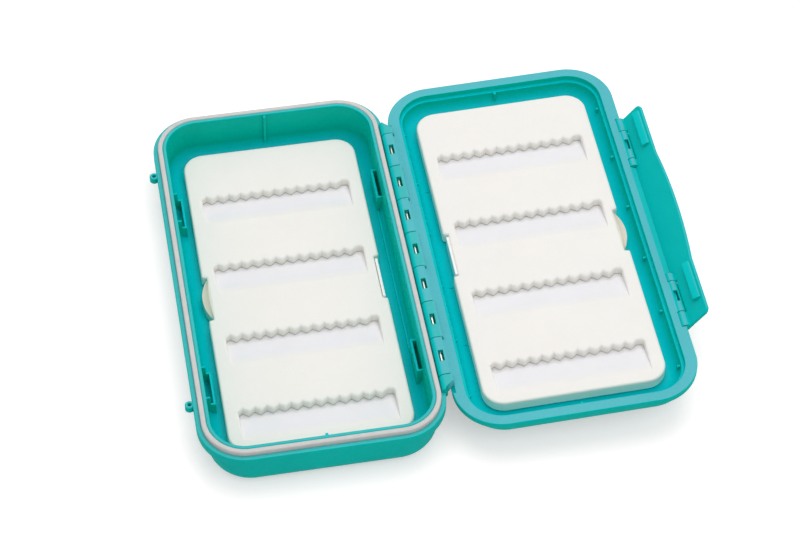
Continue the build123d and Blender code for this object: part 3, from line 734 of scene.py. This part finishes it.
def lid_hinge_blocks(radius, edge):
    """The lid's knuckles, whose webs are trimmed round so that they clear the base, and the fillets
    that blend them into the rim."""
    profile = arc((0.0, 0.0), LID_WEB_RADIUS, -90, -90 + web_angle(LID_WEB_RADIUS), 8)
    profile += [(min(a, KNUCKLE_SIDE) if b > 0.0 else a, b)
                for a, b in knuckle_arc(radius, -90 + web_angle(radius), 270)]
    into_knuckle, into_rim = KNUCKLE_SIDE - FILLET_ROOT[0], LID_RIM - FILLET_ROOT[1]
    centre = (KNUCKLE_SIDE + HINGE_FILLET, LID_RIM + HINGE_FILLET)
    fillet = arc(centre, HINGE_FILLET, 180, 270, 12)
    fillet += [(fillet[-1][0], into_rim), (into_knuckle, into_rim), (into_knuckle, centre[1])]
    return ([extruded(profile, y0, y1, edge) for y0, y1 in lid_spans()]
            + [extruded(fillet, y0, y1) for y0, y1 in lid_spans()])


def centre_ribs(centre, rib, edge):
    """The upright rib in the middle of each short wall."""
    start, end, low, high = rib
    return [box(centre - RIB_HALF, centre + RIB_HALF, y0, y1, low, high, edge)
            for y0, y1 in mirrored_spans((start, end))]


def base_ribs(edge):
    """Centre ribs on the short walls, sockets by the latch and a rail with sockets by the hinge."""
    tools = centre_ribs(0.0, BASE_RIB, edge)
    middle, half, wall = SOCKET
    for side in (-1, 1):
        start, end = side * middle - half, side * middle + half
        tools.append(extruded(LATCH_SOCKET_FACE, start, end, edge))
        tools.append(extruded(HINGE_SOCKET_FACE, start, end, edge))
        for y0 in (start, end - wall):
            tools.append(extruded(LATCH_SOCKET_END, y0, y0 + wall, edge))
            tools.append(extruded(HINGE_SOCKET_END, y0, y0 + wall, edge))
    tools.append(extruded(HINGE_RAIL, -RAIL_HALF, RAIL_HALF, edge))
    return tools


def lid_ribs(edge):
    """Centre ribs on the short walls, six pegs by the latch with nubs across from them, and three
    short ribs on the floor by the hinge."""
    tools = centre_ribs(LID_CENTRE, LID_RIB, edge)
    for index in range(PEGS):
        middle = (index - (PEGS - 1) / 2) * PEG_PITCH
        tools.append(extruded(LID_PEG, middle - 2.9, middle - 1.9, edge))
        tools.append(extruded(LID_NUB, middle - 0.4, middle + 0.4, edge))
    x0, x1, low, high = FLOOR_RIB
    for middle in FLOOR_RIBS:
        tools.append(box(x0, x1, middle - 0.3, middle + 0.3, low, high, 0.12))
    return tools


def rim_bevel():
    """The slope that leads from the rim's flat down to the flap's lip, between the hinge groups."""
    width, drop, half = RIM_BEVEL
    low, high = LID_RIM - drop, LID_RIM + 1.0
    profile = [(LID_EDGE - width, LID_RIM), (LID_EDGE, low), (LID_EDGE + 1.0, low), (LID_EDGE + 1.0, high),
               (LID_EDGE - width, high)]
    return extruded(profile, -half, half)


def rim_nose():
    """The bevel's own thin edge, which reaches out over the flap's lip."""
    width, drop, half = RIM_BEVEL
    reach, root, tip, thickness = RIM_NOSE
    low = LID_RIM - drop
    fall = reach * drop / width
    profile = [(LID_EDGE - root, low + root * drop / width), (LID_EDGE + reach, low - fall),
               (LID_EDGE + reach, low - fall - tip), (LID_EDGE - root, low - thickness)]
    return extruded(profile, root - half, half - root)


def latch_outline():
    """The flap seen flat: square root, rounded outer corners and a thumb belly between the hooks."""
    belly, chord = LATCH_BELLY
    radius = (chord ** 2 + belly ** 2) / (2 * belly)
    spread = math.degrees(math.asin(chord / radius))
    x, y = LATCH_REACH - LATCH_CORNER, LATCH_END - LATCH_CORNER
    return [(LATCH_ROOT, -LATCH_END), *arc((x, -y), LATCH_CORNER, -90, 0, 8),
            *arc((LATCH_REACH + belly - radius, 0.0), radius, -spread, spread, 32),
            *arc((x, y), LATCH_CORNER, 0, 90, 8), (LATCH_ROOT, LATCH_END)]


def curl(shape, span):
    """A thin leaf that follows the latch's axis and closes the view through its gap."""
    inner, outer, start, end = shape
    leaf = arc((0.0, 0.0), outer, start, end, 12) + arc((0.0, 0.0), inner, end, start, 12)
    return extruded(leaf, *span, 0.1)


# ---- foam inserts ----
def tooth_depth(share, sharpness):
    """How far a tooth stands out along its pitch: a scallop, or nearer a point."""
    scallop = math.sin(math.pi * share)
    point = 1.0 - abs(2.0 * share - 1.0)
    return (1.0 - sharpness) * scallop + sharpness * point


def row_drop(place, depth, sharpness):
    """How far the far wall stands in, with place counted in teeth from the row's plain end."""
    start, corner = PLAIN_END
    if place >= start:
        return depth * tooth_depth((place - start) % 1.0, sharpness)
    past = max(0.0, 1.0 - place / corner)
    return ROW_CORNER * (1.0 - math.sqrt(1.0 - past ** 2))


def row_loop(far, depth, sharpness, turned):
    """One fly row seen from above, anticlockwise from its near right corner, with the drop at each
    point. The plain end is on the right, or on the left of a turned pad."""
    near, foot = far - ROW_LENGTH, far - RAMP_FOOT
    count = TEETH * TOOTH_STEPS
    tips = []
    for index in range(count + 1):
        place = (count - index if turned else index) / TOOTH_STEPS
        tips.append(far - row_drop(place, depth, sharpness))
    ramp = [near + run for run in RAMP_RUNS] + [foot - RAMP_TAIL, foot]
    sides = []
    for top in (tips[0], tips[-1]):
        heights = ramp + [foot + share * (top - foot) for share in WALL_SHARES]
        sides.append([(ROW_HALF + ROW_FLARE * (y - near) / ROW_LENGTH, y) for y in heights])
    half = ROW_HALF + ROW_FLARE
    points = sides[0] + [(half - 2.0 * half * index / count, y) for index, y in enumerate(tips)]
    points += [(-x, y) for x, y in reversed(sides[1])]
    drops = [ROW_DEPTH * min(1.0, (y - near) / (foot - near)) for _, y in sides[0]]
    return points, drops + [ROW_DEPTH] * (count + 1) + drops[::-1]


def cut_row(bm, far, sizes, deep, turned):
    """The walls and ramp of one fly row. Returns the loop where it meets the pad's top."""
    depth, edge = sizes.tooth_depth / MM, sizes.foam_edge / MM
    blunt, pointed = TOOTH_POINT
    top_points, drops = row_loop(far, depth, blunt, turned)
    foot_points, _ = row_loop(far, depth, pointed, turned)
    soft = [edge * min(1.0, drop / (2.0 * edge)) for drop in drops]
    loops = []
    for step in range(ROUND_STEPS + 1):
        angle = math.radians(90 * step / ROUND_STEPS)
        spread = offset_loop(top_points, [s * (1 - math.sin(angle)) for s in soft])
        loops.append([bm.verts.new((x, y, PAD_TOP - s * (1 - math.cos(angle))))
                      for (x, y), s in zip(spread, soft)])
    floor = [bm.verts.new((x, y, PAD_TOP - drop)) for (x, y), drop in zip(foot_points, drops)]
    loops.append(floor)
    for upper, lower in zip(loops, loops[1:]):
        bridge(bm, lower, upper)
    # each floor point keeps its depth, which the foam finish reads to paint shade down the teeth
    for vert, drop in zip(floor, drops):
        vert[deep] = drop / ROW_DEPTH
    rungs = len(RAMP_RUNS) + 1
    right, left = floor[:rungs + 1], floor[::-1][:rungs + 1]
    faces = [(right[k], right[k + 1], left[k + 1], left[k]) for k in range(rungs)]
    for corners in [*faces, floor[rungs:len(floor) - rungs]]:
        bm.faces.new(corners).material_index = 1
    return loops[0]


def notch_points(side):
    """One notch in the pad's outline, going up its right side or down its left one."""
    low, high, depth = NOTCH
    turn, bend = NOTCH_TURN
    outer, inner, corner = side * PAD_HALF[0], side * (PAD_HALF[0] - depth), side * NOTCH_CORNER
    start, end = (low, high) if side > 0 else (high, low)
    out = 0 if side > 0 else 180
    return [*arc((outer - side * turn, start - side * turn), turn, out, out + bend, 5),
            (inner + corner, start), (inner, start + corner), (inner, end - corner), (inner + corner, end),
            *arc((outer - side * turn, end + side * turn), turn, out - bend, out, 5)]


def pad_outline():
    """The pad seen from above, anticlockwise, with a notch half way along each long side."""
    corners = corner_arcs(*PAD_HALF, PAD_CORNER, 16)
    return notch_points(1) + corners[0] + corners[1] + notch_points(-1) + corners[2] + corners[3]


def foam_solid(sizes, turned):
    """A die-cut slab with rounded top edges and four toothed, ramped rows."""
    bm = bmesh.new()
    deep = bm.verts.layers.float.new("row_depth")
    outline = pad_outline()
    rounding = sizes.foam_rounding / MM
    levels = [(0.0, PAD_FOOT), (0.0, PAD_TOP - rounding)]
    for step in range(1, ROUND_STEPS + 1):
        angle = math.radians(90 / ROUND_STEPS * step)
        levels.append((rounding * (1 - math.cos(angle)), PAD_TOP - rounding * (1 - math.sin(angle))))
    loops = []
    for inset, height in levels:
        moved = offset_loop(outline, [-inset] * len(outline))
        loops.append([bm.verts.new((x, y, height)) for x, y in moved])
    for lower, upper in zip(loops, loops[1:]):
        bridge(bm, lower, upper)
    bm.faces.new(list(reversed(loops[0])))
    rims = [loops[-1]] + [cut_row(bm, far, sizes, deep, turned) for far in ROW_FAR]
    edges = [bm.edges.get(pair) for rim in rims for pair in zip(rim, rim[1:] + rim[:1])]
    bmesh.ops.triangle_fill(bm, use_beauty=True, use_dissolve=False, edges=edges, normal=(0, 0, 1))
    cleaned(bm)
    bmesh.ops.recalc_face_normals(bm, faces=bm.faces)
    return bm


def tab_solid(bm):
    """The thumb tab: a pale lip along the chord, and a scoop that falls towards the bulge."""
    scoop = bm.verts.layers.float.new("scoop")
    radius = (TAB_HALF ** 2 + TAB_BULGE ** 2) / (2 * TAB_BULGE)
    rows = []
    for step in range(TAB_STEPS + 1):
        along = TAB_HALF * math.sin(math.radians(-90 + 180 * step / TAB_STEPS))
        bulge = max(math.sqrt(radius ** 2 - along ** 2) - (radius - TAB_BULGE), 0.02)
        section = [(share * bulge, PAD_TOP - drop, tan) for share, drop, tan in TAB_PROFILE]
        section = [(0.0, TAB_FOOT, 0.0), *section, (bulge, TAB_FOOT, 0.3)]
        rows.append([])
        for out, height, tan in section:
            rows[-1].append(bm.verts.new((-TAB_CHORD - out, TAB_MIDDLE + along, height)))
            rows[-1][-1][scoop] = tan
    for first, second in zip(rows, rows[1:]):
        bridge(bm, first, second)
    bm.faces.new(rows[0])
    bm.faces.new(list(reversed(rows[-1])))


# ---- studio ----
def make_floor(stage):
    bm = bmesh.new()
    bmesh.ops.create_grid(bm, x_segments=1, y_segments=1, size=FLOOR_SIZE)
    floor = as_object(bm, "studio_floor", Matrix.Translation(FLOOR_MIDDLE))
    floor.data.materials.append(lit_paper(stage.floor_colour, stage.floor_lift))


def make_lamp(name, place, size, power):
    lamp = bpy.data.lights.new(name, "AREA")
    lamp.shape = "RECTANGLE"
    lamp.size, lamp.size_y = size
    lamp.energy = power
    holder = bpy.data.objects.new(name, lamp)
    holder.location = place
    way = Vector(LAMP_TARGET) - Vector(place)
    holder.rotation_euler = way.to_track_quat("-Z", "Y").to_euler()
    bpy.context.scene.collection.objects.link(holder)


def make_world(stage):
    world = bpy.data.worlds.new("studio_world")
    bpy.context.scene.world = world
    world.use_nodes = True
    tree = world.node_tree
    feed(tree, tree.nodes["Background"], {"Color": rgba(stage.ambient_colour),
                                          "Strength": seen_rays(tree, stage.ambient, 1.0)})


def make_camera():
    back = -Vector(CAMERA_FORWARD).normalized()
    up = back.cross(Vector(CAMERA_RIGHT)).normalized()
    right = up.cross(back)
    lens = bpy.data.cameras.new("studio_camera")
    lens.lens = CAMERA_LENS
    lens.clip_start, lens.clip_end = CAMERA_CLIP
    camera = bpy.data.objects.new("studio_camera", lens)
    turn = Matrix((right, up, back)).transposed().to_4x4()
    camera.matrix_world = Matrix.Translation(Vector(CAMERA_PLACE) * MM) @ turn
    bpy.context.scene.collection.objects.link(camera)
    bpy.context.scene.camera = camera


# ---- settings ----
metres = partial(FloatProperty, unit="LENGTH")
watts = partial(FloatProperty, min=0.0, unit="POWER")
tint = partial(FloatVectorProperty, size=3, subtype="COLOR", min=0.0, max=1.0)


class FlyBoxSizes(bpy.types.PropertyGroup):
    knuckle_radius: metres(
        name="Knuckle radius", description="Radius of the main hinge's knuckles", default=0.003)
    edge_softness: metres(
        name="Edge softness", description="Rounding of the ribs, knuckles and hooks", default=0.0002)
    seal_rounding: metres(
        name="Seal rounding", description="Rounding of the rubber seal's crown", default=0.0006)
    tooth_depth: metres(
        name="Tooth depth", description="How far the foam teeth stand out into each row", default=0.0018)
    foam_edge: metres(
        name="Row edge", description="Rounding where a row meets the pad's top", default=0.0011)
    foam_rounding: metres(
        name="Pad rounding", description="Rounding of the pad's outer top edge", default=0.001)


class FlyBoxColours(bpy.types.PropertyGroup):
    # painted light by facing: the rim tones are one teal, deepest on upright faces, with a painted sheen on
    # level ones
    rim_upright: tint(
        name="Rim sides", description="Textured plastic on upright faces", default=(0.0, 0.485, 0.425))
    rim_sloped: tint(
        name="Rim slopes", description="Textured plastic on sloped faces", default=(0.0, 0.545, 0.54))
    rim_level_sheen: tint(
        name="Rim tops", description="Textured plastic on level faces", default=(0.10, 0.495, 0.55))
    rim_ledge_sheen: tint(
        name="Base rim tops", description="Textured plastic on the base's level faces",
        default=(0.06, 0.50, 0.50))
    # painted light by facing again: the inner floors are paler and bluer than the inner walls because they
    # face up
    inner_upright: tint(
        name="Inner walls", description="Polished plastic on upright faces", default=(0.0, 0.51, 0.405))
    inner_level_sheen: tint(
        name="Inner floors", description="Polished plastic on level faces", default=(0.0, 0.535, 0.585))
    rubber: tint(name="Seal", description="Rubber of the seal", default=(0.60, 0.59, 0.58))
    foam: tint(name="Foam", description="Top and teeth of the pads", default=(0.90, 0.875, 0.84))
    # painted shade: the pad's foam moves to this tone down its teeth, towards their foot
    foam_shade: tint(
        name="Foam in the rows", description="Foam at the foot of the teeth", default=(0.77, 0.76, 0.68))
    ramp: tint(name="Ramps", description="Floors of the fly rows", default=(0.855, 0.845, 0.875))
    strip: tint(
        name="Tab lip", description="Pale lip of the thumb tab and the plate", default=(0.78, 0.75, 0.64))
    scoop: tint(name="Tab scoop", description="Tan scoop of the thumb tab", default=(0.76, 0.64, 0.54))
    gloss: tint(name="Clips", description="Bright clips beside the pads", default=(0.9, 0.9, 0.89))
    steel: tint(name="Pin", description="Steel of the hinge pin", default=(0.72, 0.70, 0.66))
    stain: tint(name="Pin stain", description="Patches on the hinge pin", default=(0.42, 0.36, 0.27))


class FlyBoxStage(bpy.types.PropertyGroup):
    ambient: FloatProperty(
        name="Ambient", description="Strength of the surrounding light", default=0.585, min=0.0)
    ambient_colour: tint(
        name="Ambient colour", description="Colour of the surrounding light", default=(1.0, 1.0, 1.0))
    key_power: watts(name="Key lamp", description="Power of the lamp over the far side", default=8.2)
    fill_power: watts(name="Fill lamp", description="Power of the lamp over the near side", default=2.7)
    floor_colour: tint(name="Floor", description="Colour of the floor", default=(0.82, 0.75, 0.755))
    floor_lift: FloatProperty(
        name="Floor lift", description="How much the floor is lifted towards white for the camera",
        default=0.43, min=0.0)


# ---- operators ----
class FLYBOX_OT_finishes(bpy.types.Operator):
    """Mix the plastics, rubber, foam and steel"""
    bl_idname = "flybox.finishes"
    bl_label = "Finishes"

    def execute(self, context):
        mix_finishes(context.scene.flybox_colours)
        return {"FINISHED"}


class FLYBOX_OT_base_tray(bpy.types.Operator):
    """Mould the base tray with its ribs, sockets and hinge knuckles"""
    bl_idname = "flybox.base_tray"
    bl_label = "Base tray"

    def execute(self, context):
        sizes = context.scene.flybox_sizes
        radius, edge = sizes.knuckle_radius / MM, sizes.edge_softness / MM
        x, z = HINGE.x, HINGE.z
        cuts = sweep_pockets(lid_spans(), x, z, radius) + end_slants()
        cuts += pin_windows(knuckle_spans()[1::2], x, z, WINDOW, radius) + [hinge_bore(x, z)]
        adds = base_ribs(edge) + base_hinge_blocks(radius, edge)
        tray = carved(lofted(softened(BASE_RINGS)), adds, cuts, Matrix(), "base_tray")
        dressed(tray, "base", ["base_shell"], ["base_textured", "polished", "crown"])
        polish(tray, Matrix(), *BASE_INSIDE)
        return {"FINISHED"}


class FLYBOX_OT_lid_tray(bpy.types.Operator):
    """Mould the lid tray with its step, pegs, nubs, hinge and latch knuckles"""
    bl_idname = "flybox.lid_tray"
    bl_label = "Lid tray"

    def execute(self, context):
        sizes = context.scene.flybox_sizes
        radius, edge = sizes.knuckle_radius / MM, sizes.edge_softness / MM
        x, _, z = LATCH_LOCAL
        cuts = sweep_pockets(base_spans(), 0.0, 0.0, radius)
        cuts += pin_windows(lid_spans(), 0.0, 0.0, WINDOW, radius) + [hinge_bore(), rim_bevel()]
        adds = lid_ribs(edge) + lid_hinge_blocks(radius, edge) + [rim_nose()]
        for span in mirrored_spans(LATCH_LID_SPAN):
            adds.append(rod(LATCH_KNUCKLE, *span, x, z, edge))
            cuts += pin_windows([span], x, z, LATCH_WINDOW, LATCH_KNUCKLE)
        turning = mirrored_spans(LATCH_INNER_SPAN) + mirrored_spans(LATCH_OUTER_SPAN)
        for span in turning:
            cuts += sweep_pockets([span], x, z, LATCH_KNUCKLE)
        cuts += [rod(LATCH_PIN + PIN_PLAY, *span, x, z, steps=24) for span in mirrored_spans(LATCH_PIN_SPAN)]
        tray = carved(lofted(softened(LID_RINGS), LID_CENTRE), adds, cuts, LID_PLACE, "lid_tray")
        dressed(tray, "lid", ["lid_shell"], ["textured", "polished", "crown"])
        polish(tray, LID_PLACE, *LID_INSIDE)
        return {"FINISHED"}


class FLYBOX_OT_seal(bpy.types.Operator):
    """Lay the rubber seal in its groove"""
    bl_idname = "flybox.seal"
    bl_label = "Seal"

    def execute(self, context):
        sizes = context.scene.flybox_sizes
        crown = sizes.seal_rounding / MM
        rings = [((*SEAL_OUTER, SEAL_FOOT), 0.1), ((*SEAL_OUTER, SEAL_TOP), crown),
                 ((*SEAL_INNER, SEAL_TOP), crown), ((*SEAL_INNER, SEAL_FOOT), 0.1)]
        seal = as_object(lofted(softened(rings, True), closed=True), "seal_ring")
        dressed(seal, "base", ["gasket"], ["rubber"])
        return {"FINISHED"}


class FLYBOX_OT_eyelets(bpy.types.Operator):
    """Add the two lanyard rings"""
    bl_idname = "flybox.eyelets"
    bl_label = "Lanyard rings"

    def execute(self, context):
        bodies = bmesh.new()
        for side in (-1, 1):
            centre = (EYELET_PLACE[0], side * EYELET_PLACE[1])
            loops = [[bodies.verts.new((x, y, height)) for x, y in circle(centre, radius, 48)]
                     for radius, height in EYELET_SECTION]
            for lower, upper in zip(loops, loops[1:] + loops[:1]):
                bridge(bodies, lower, upper)
        rings = as_object(bodies, "eyelet_rings")
        dressed(rings, "base", ["lanyard_eyelets"], ["textured"])
        return {"FINISHED"}


class FLYBOX_OT_pins(bpy.types.Operator):
    """Turn the hinge pin and the two latch pins"""
    bl_idname = "flybox.pins"
    bl_label = "Pins"

    def execute(self, context):
        pin = as_object(rod(PIN_RADIUS, -PIN_REACH, PIN_REACH, HINGE.x, HINGE.z, 0.2, 32), "hinge_rod")
        dressed(pin, "base", ["hinge_pin"], ["steel"])
        x, _, z = LATCH_LOCAL
        for label, span in zip(("lower", "upper"), reversed(mirrored_spans(LATCH_PIN_SPAN))):
            pin = as_object(rod(LATCH_PIN, *span, x, z, 0.15, 32), "latch_rod_" + label, LID_PLACE)
            dressed(pin, "lid", ["latch_pin_" + label], ["pin_teal"])
        return {"FINISHED"}


class FLYBOX_OT_latch(bpy.types.Operator):
    """Mould the latch flap with its hooks and knuckles"""
    bl_idname = "flybox.latch"
    bl_label = "Latch"

    def execute(self, context):
        sizes = context.scene.flybox_sizes
        edge = sizes.edge_softness / MM
        low, high = LATCH_FACES
        reach, wrap = LATCH_ARM
        start = math.degrees(math.asin(high / LATCH_KNUCKLE))
        arm = [(reach, low), (reach, high), *arc((0.0, 0.0), LATCH_KNUCKLE, start, wrap, 36)]
        adds = [extruded(arm, *span, edge)
                for span in mirrored_spans(LATCH_INNER_SPAN) + mirrored_spans(LATCH_OUTER_SPAN)]
        lip_start, lip_end, lip_half = LATCH_LIP
        adds.append(box(lip_start, lip_end, -lip_half, lip_half, low, high, edge))
        adds.append(curl(LIP_CURL, (-lip_half + 0.3, lip_half - 0.3)))
        low_end, high_end = LATCH_LID_SPAN
        adds += [curl(ROOT_CURL, span) for span in mirrored_spans((low_end + 0.1, high_end - 0.1))]
        adds += [extruded(HOOK, *span, edge) for span in HOOK_SPANS]
        cuts = [rod(LATCH_PIN + PIN_PLAY, *span, steps=24) for span in mirrored_spans(LATCH_PIN_SPAN)]
        flap = extruded(latch_outline(), low, high, 0.35, True, 3)
        latch = carved(flap, adds, cuts, LATCH_PLACE, "latch_flap")
        dressed(latch, "latch", ["latch"], ["textured"])
        return {"FINISHED"}


class FLYBOX_OT_foam(bpy.types.Operator):
    """Cut the two foam pads with their toothed rows"""
    bl_idname = "flybox.foam"
    bl_label = "Foam pads"

    def execute(self, context):
        sizes = context.scene.flybox_sizes
        for body, place in INSERTS:
            lid = body == "lid"
            foam = as_object(foam_solid(sizes, lid), body + "_foam", place, lid)
            dressed(foam, body, [body + "_pad"], ["foam", "ramp"], 32.0)
        return {"FINISHED"}


class FLYBOX_OT_plates(bpy.types.Operator):
    """Make the pads' plates, thumb tabs and clips"""
    bl_idname = "flybox.plates"
    bl_label = "Plates and clips"

    def execute(self, context):
        for body, place in INSERTS:
            lid = body == "lid"
            rings = [((*PLATE_HALF, PLATE_CORNER, height), 0.2) for height in (0.0, PAD_FOOT)]
            bm = lofted(softened(rings))
            tab_solid(bm)
            bmesh.ops.recalc_face_normals(bm, faces=bm.faces)
            plate = as_object(bm, body + "_plate", place, lid)
            dressed(plate, body, [body + "_pad_plate"], ["ivory"])
            leaf = extruded(CLIP_LEAF, CLIP_MIDDLE - CLIP_HALF, CLIP_MIDDLE + CLIP_HALF, 0.2)
            clip = as_object(leaf, body + "_clip", place, lid)
            dressed(clip, body, [body + "_pad_clip"], ["gloss"])
        return {"FINISHED"}


class FLYBOX_OT_studio(bpy.types.Operator):
    """Set up the floor, the lamps, the surroundings and the camera"""
    bl_idname = "flybox.studio"
    bl_label = "Studio"

    def execute(self, context):
        stage = context.scene.flybox_stage
        context.scene.view_settings.view_transform = "Standard"
        make_world(stage)
        make_floor(stage)
        make_lamp("key_lamp", *KEY_LAMP, stage.key_power)
        make_lamp("fill_lamp", *FILL_LAMP, stage.fill_power)
        make_camera()
        return {"FINISHED"}


OPERATORS = (FLYBOX_OT_finishes, FLYBOX_OT_base_tray, FLYBOX_OT_lid_tray, FLYBOX_OT_seal, FLYBOX_OT_eyelets,
             FLYBOX_OT_pins, FLYBOX_OT_latch, FLYBOX_OT_foam, FLYBOX_OT_plates, FLYBOX_OT_studio)


class FLYBOX_PT_panel(bpy.types.Panel):
    """Lists the steps that dress the fly box"""
    bl_idname = "FLYBOX_PT_panel"
    bl_label = "Fly Box"
    bl_space_type = "VIEW_3D"
    bl_region_type = "UI"
    bl_category = "Fly Box"

    def draw(self, context):
        for operator in OPERATORS:
            self.layout.operator(operator.bl_idname)
        for group in (context.scene.flybox_sizes, context.scene.flybox_colours, context.scene.flybox_stage):
            column = self.layout.column(align=True)
            for name in group.__annotations__:
                column.prop(group, name)


CLASSES = (FlyBoxSizes, FlyBoxColours, FlyBoxStage, *OPERATORS, FLYBOX_PT_panel)


def register():
    for item in CLASSES:
        bpy.utils.register_class(item)
    bpy.types.Scene.flybox_sizes = PointerProperty(type=FlyBoxSizes)
    bpy.types.Scene.flybox_colours = PointerProperty(type=FlyBoxColours)
    bpy.types.Scene.flybox_stage = PointerProperty(type=FlyBoxStage)


def unregister():
    del bpy.types.Scene.flybox_stage
    del bpy.types.Scene.flybox_colours
    del bpy.types.Scene.flybox_sizes
    for item in reversed(CLASSES):
        bpy.utils.unregister_class(item)


def main():
    register()
    bpy.ops.flybox.finishes()
    bpy.ops.flybox.base_tray()
    bpy.ops.flybox.lid_tray()
    bpy.ops.flybox.seal()
    bpy.ops.flybox.eyelets()
    bpy.ops.flybox.pins()
    bpy.ops.flybox.latch()
    bpy.ops.flybox.foam()
    bpy.ops.flybox.plates()
    bpy.ops.flybox.studio()


if __name__ == "__main__":
    main()
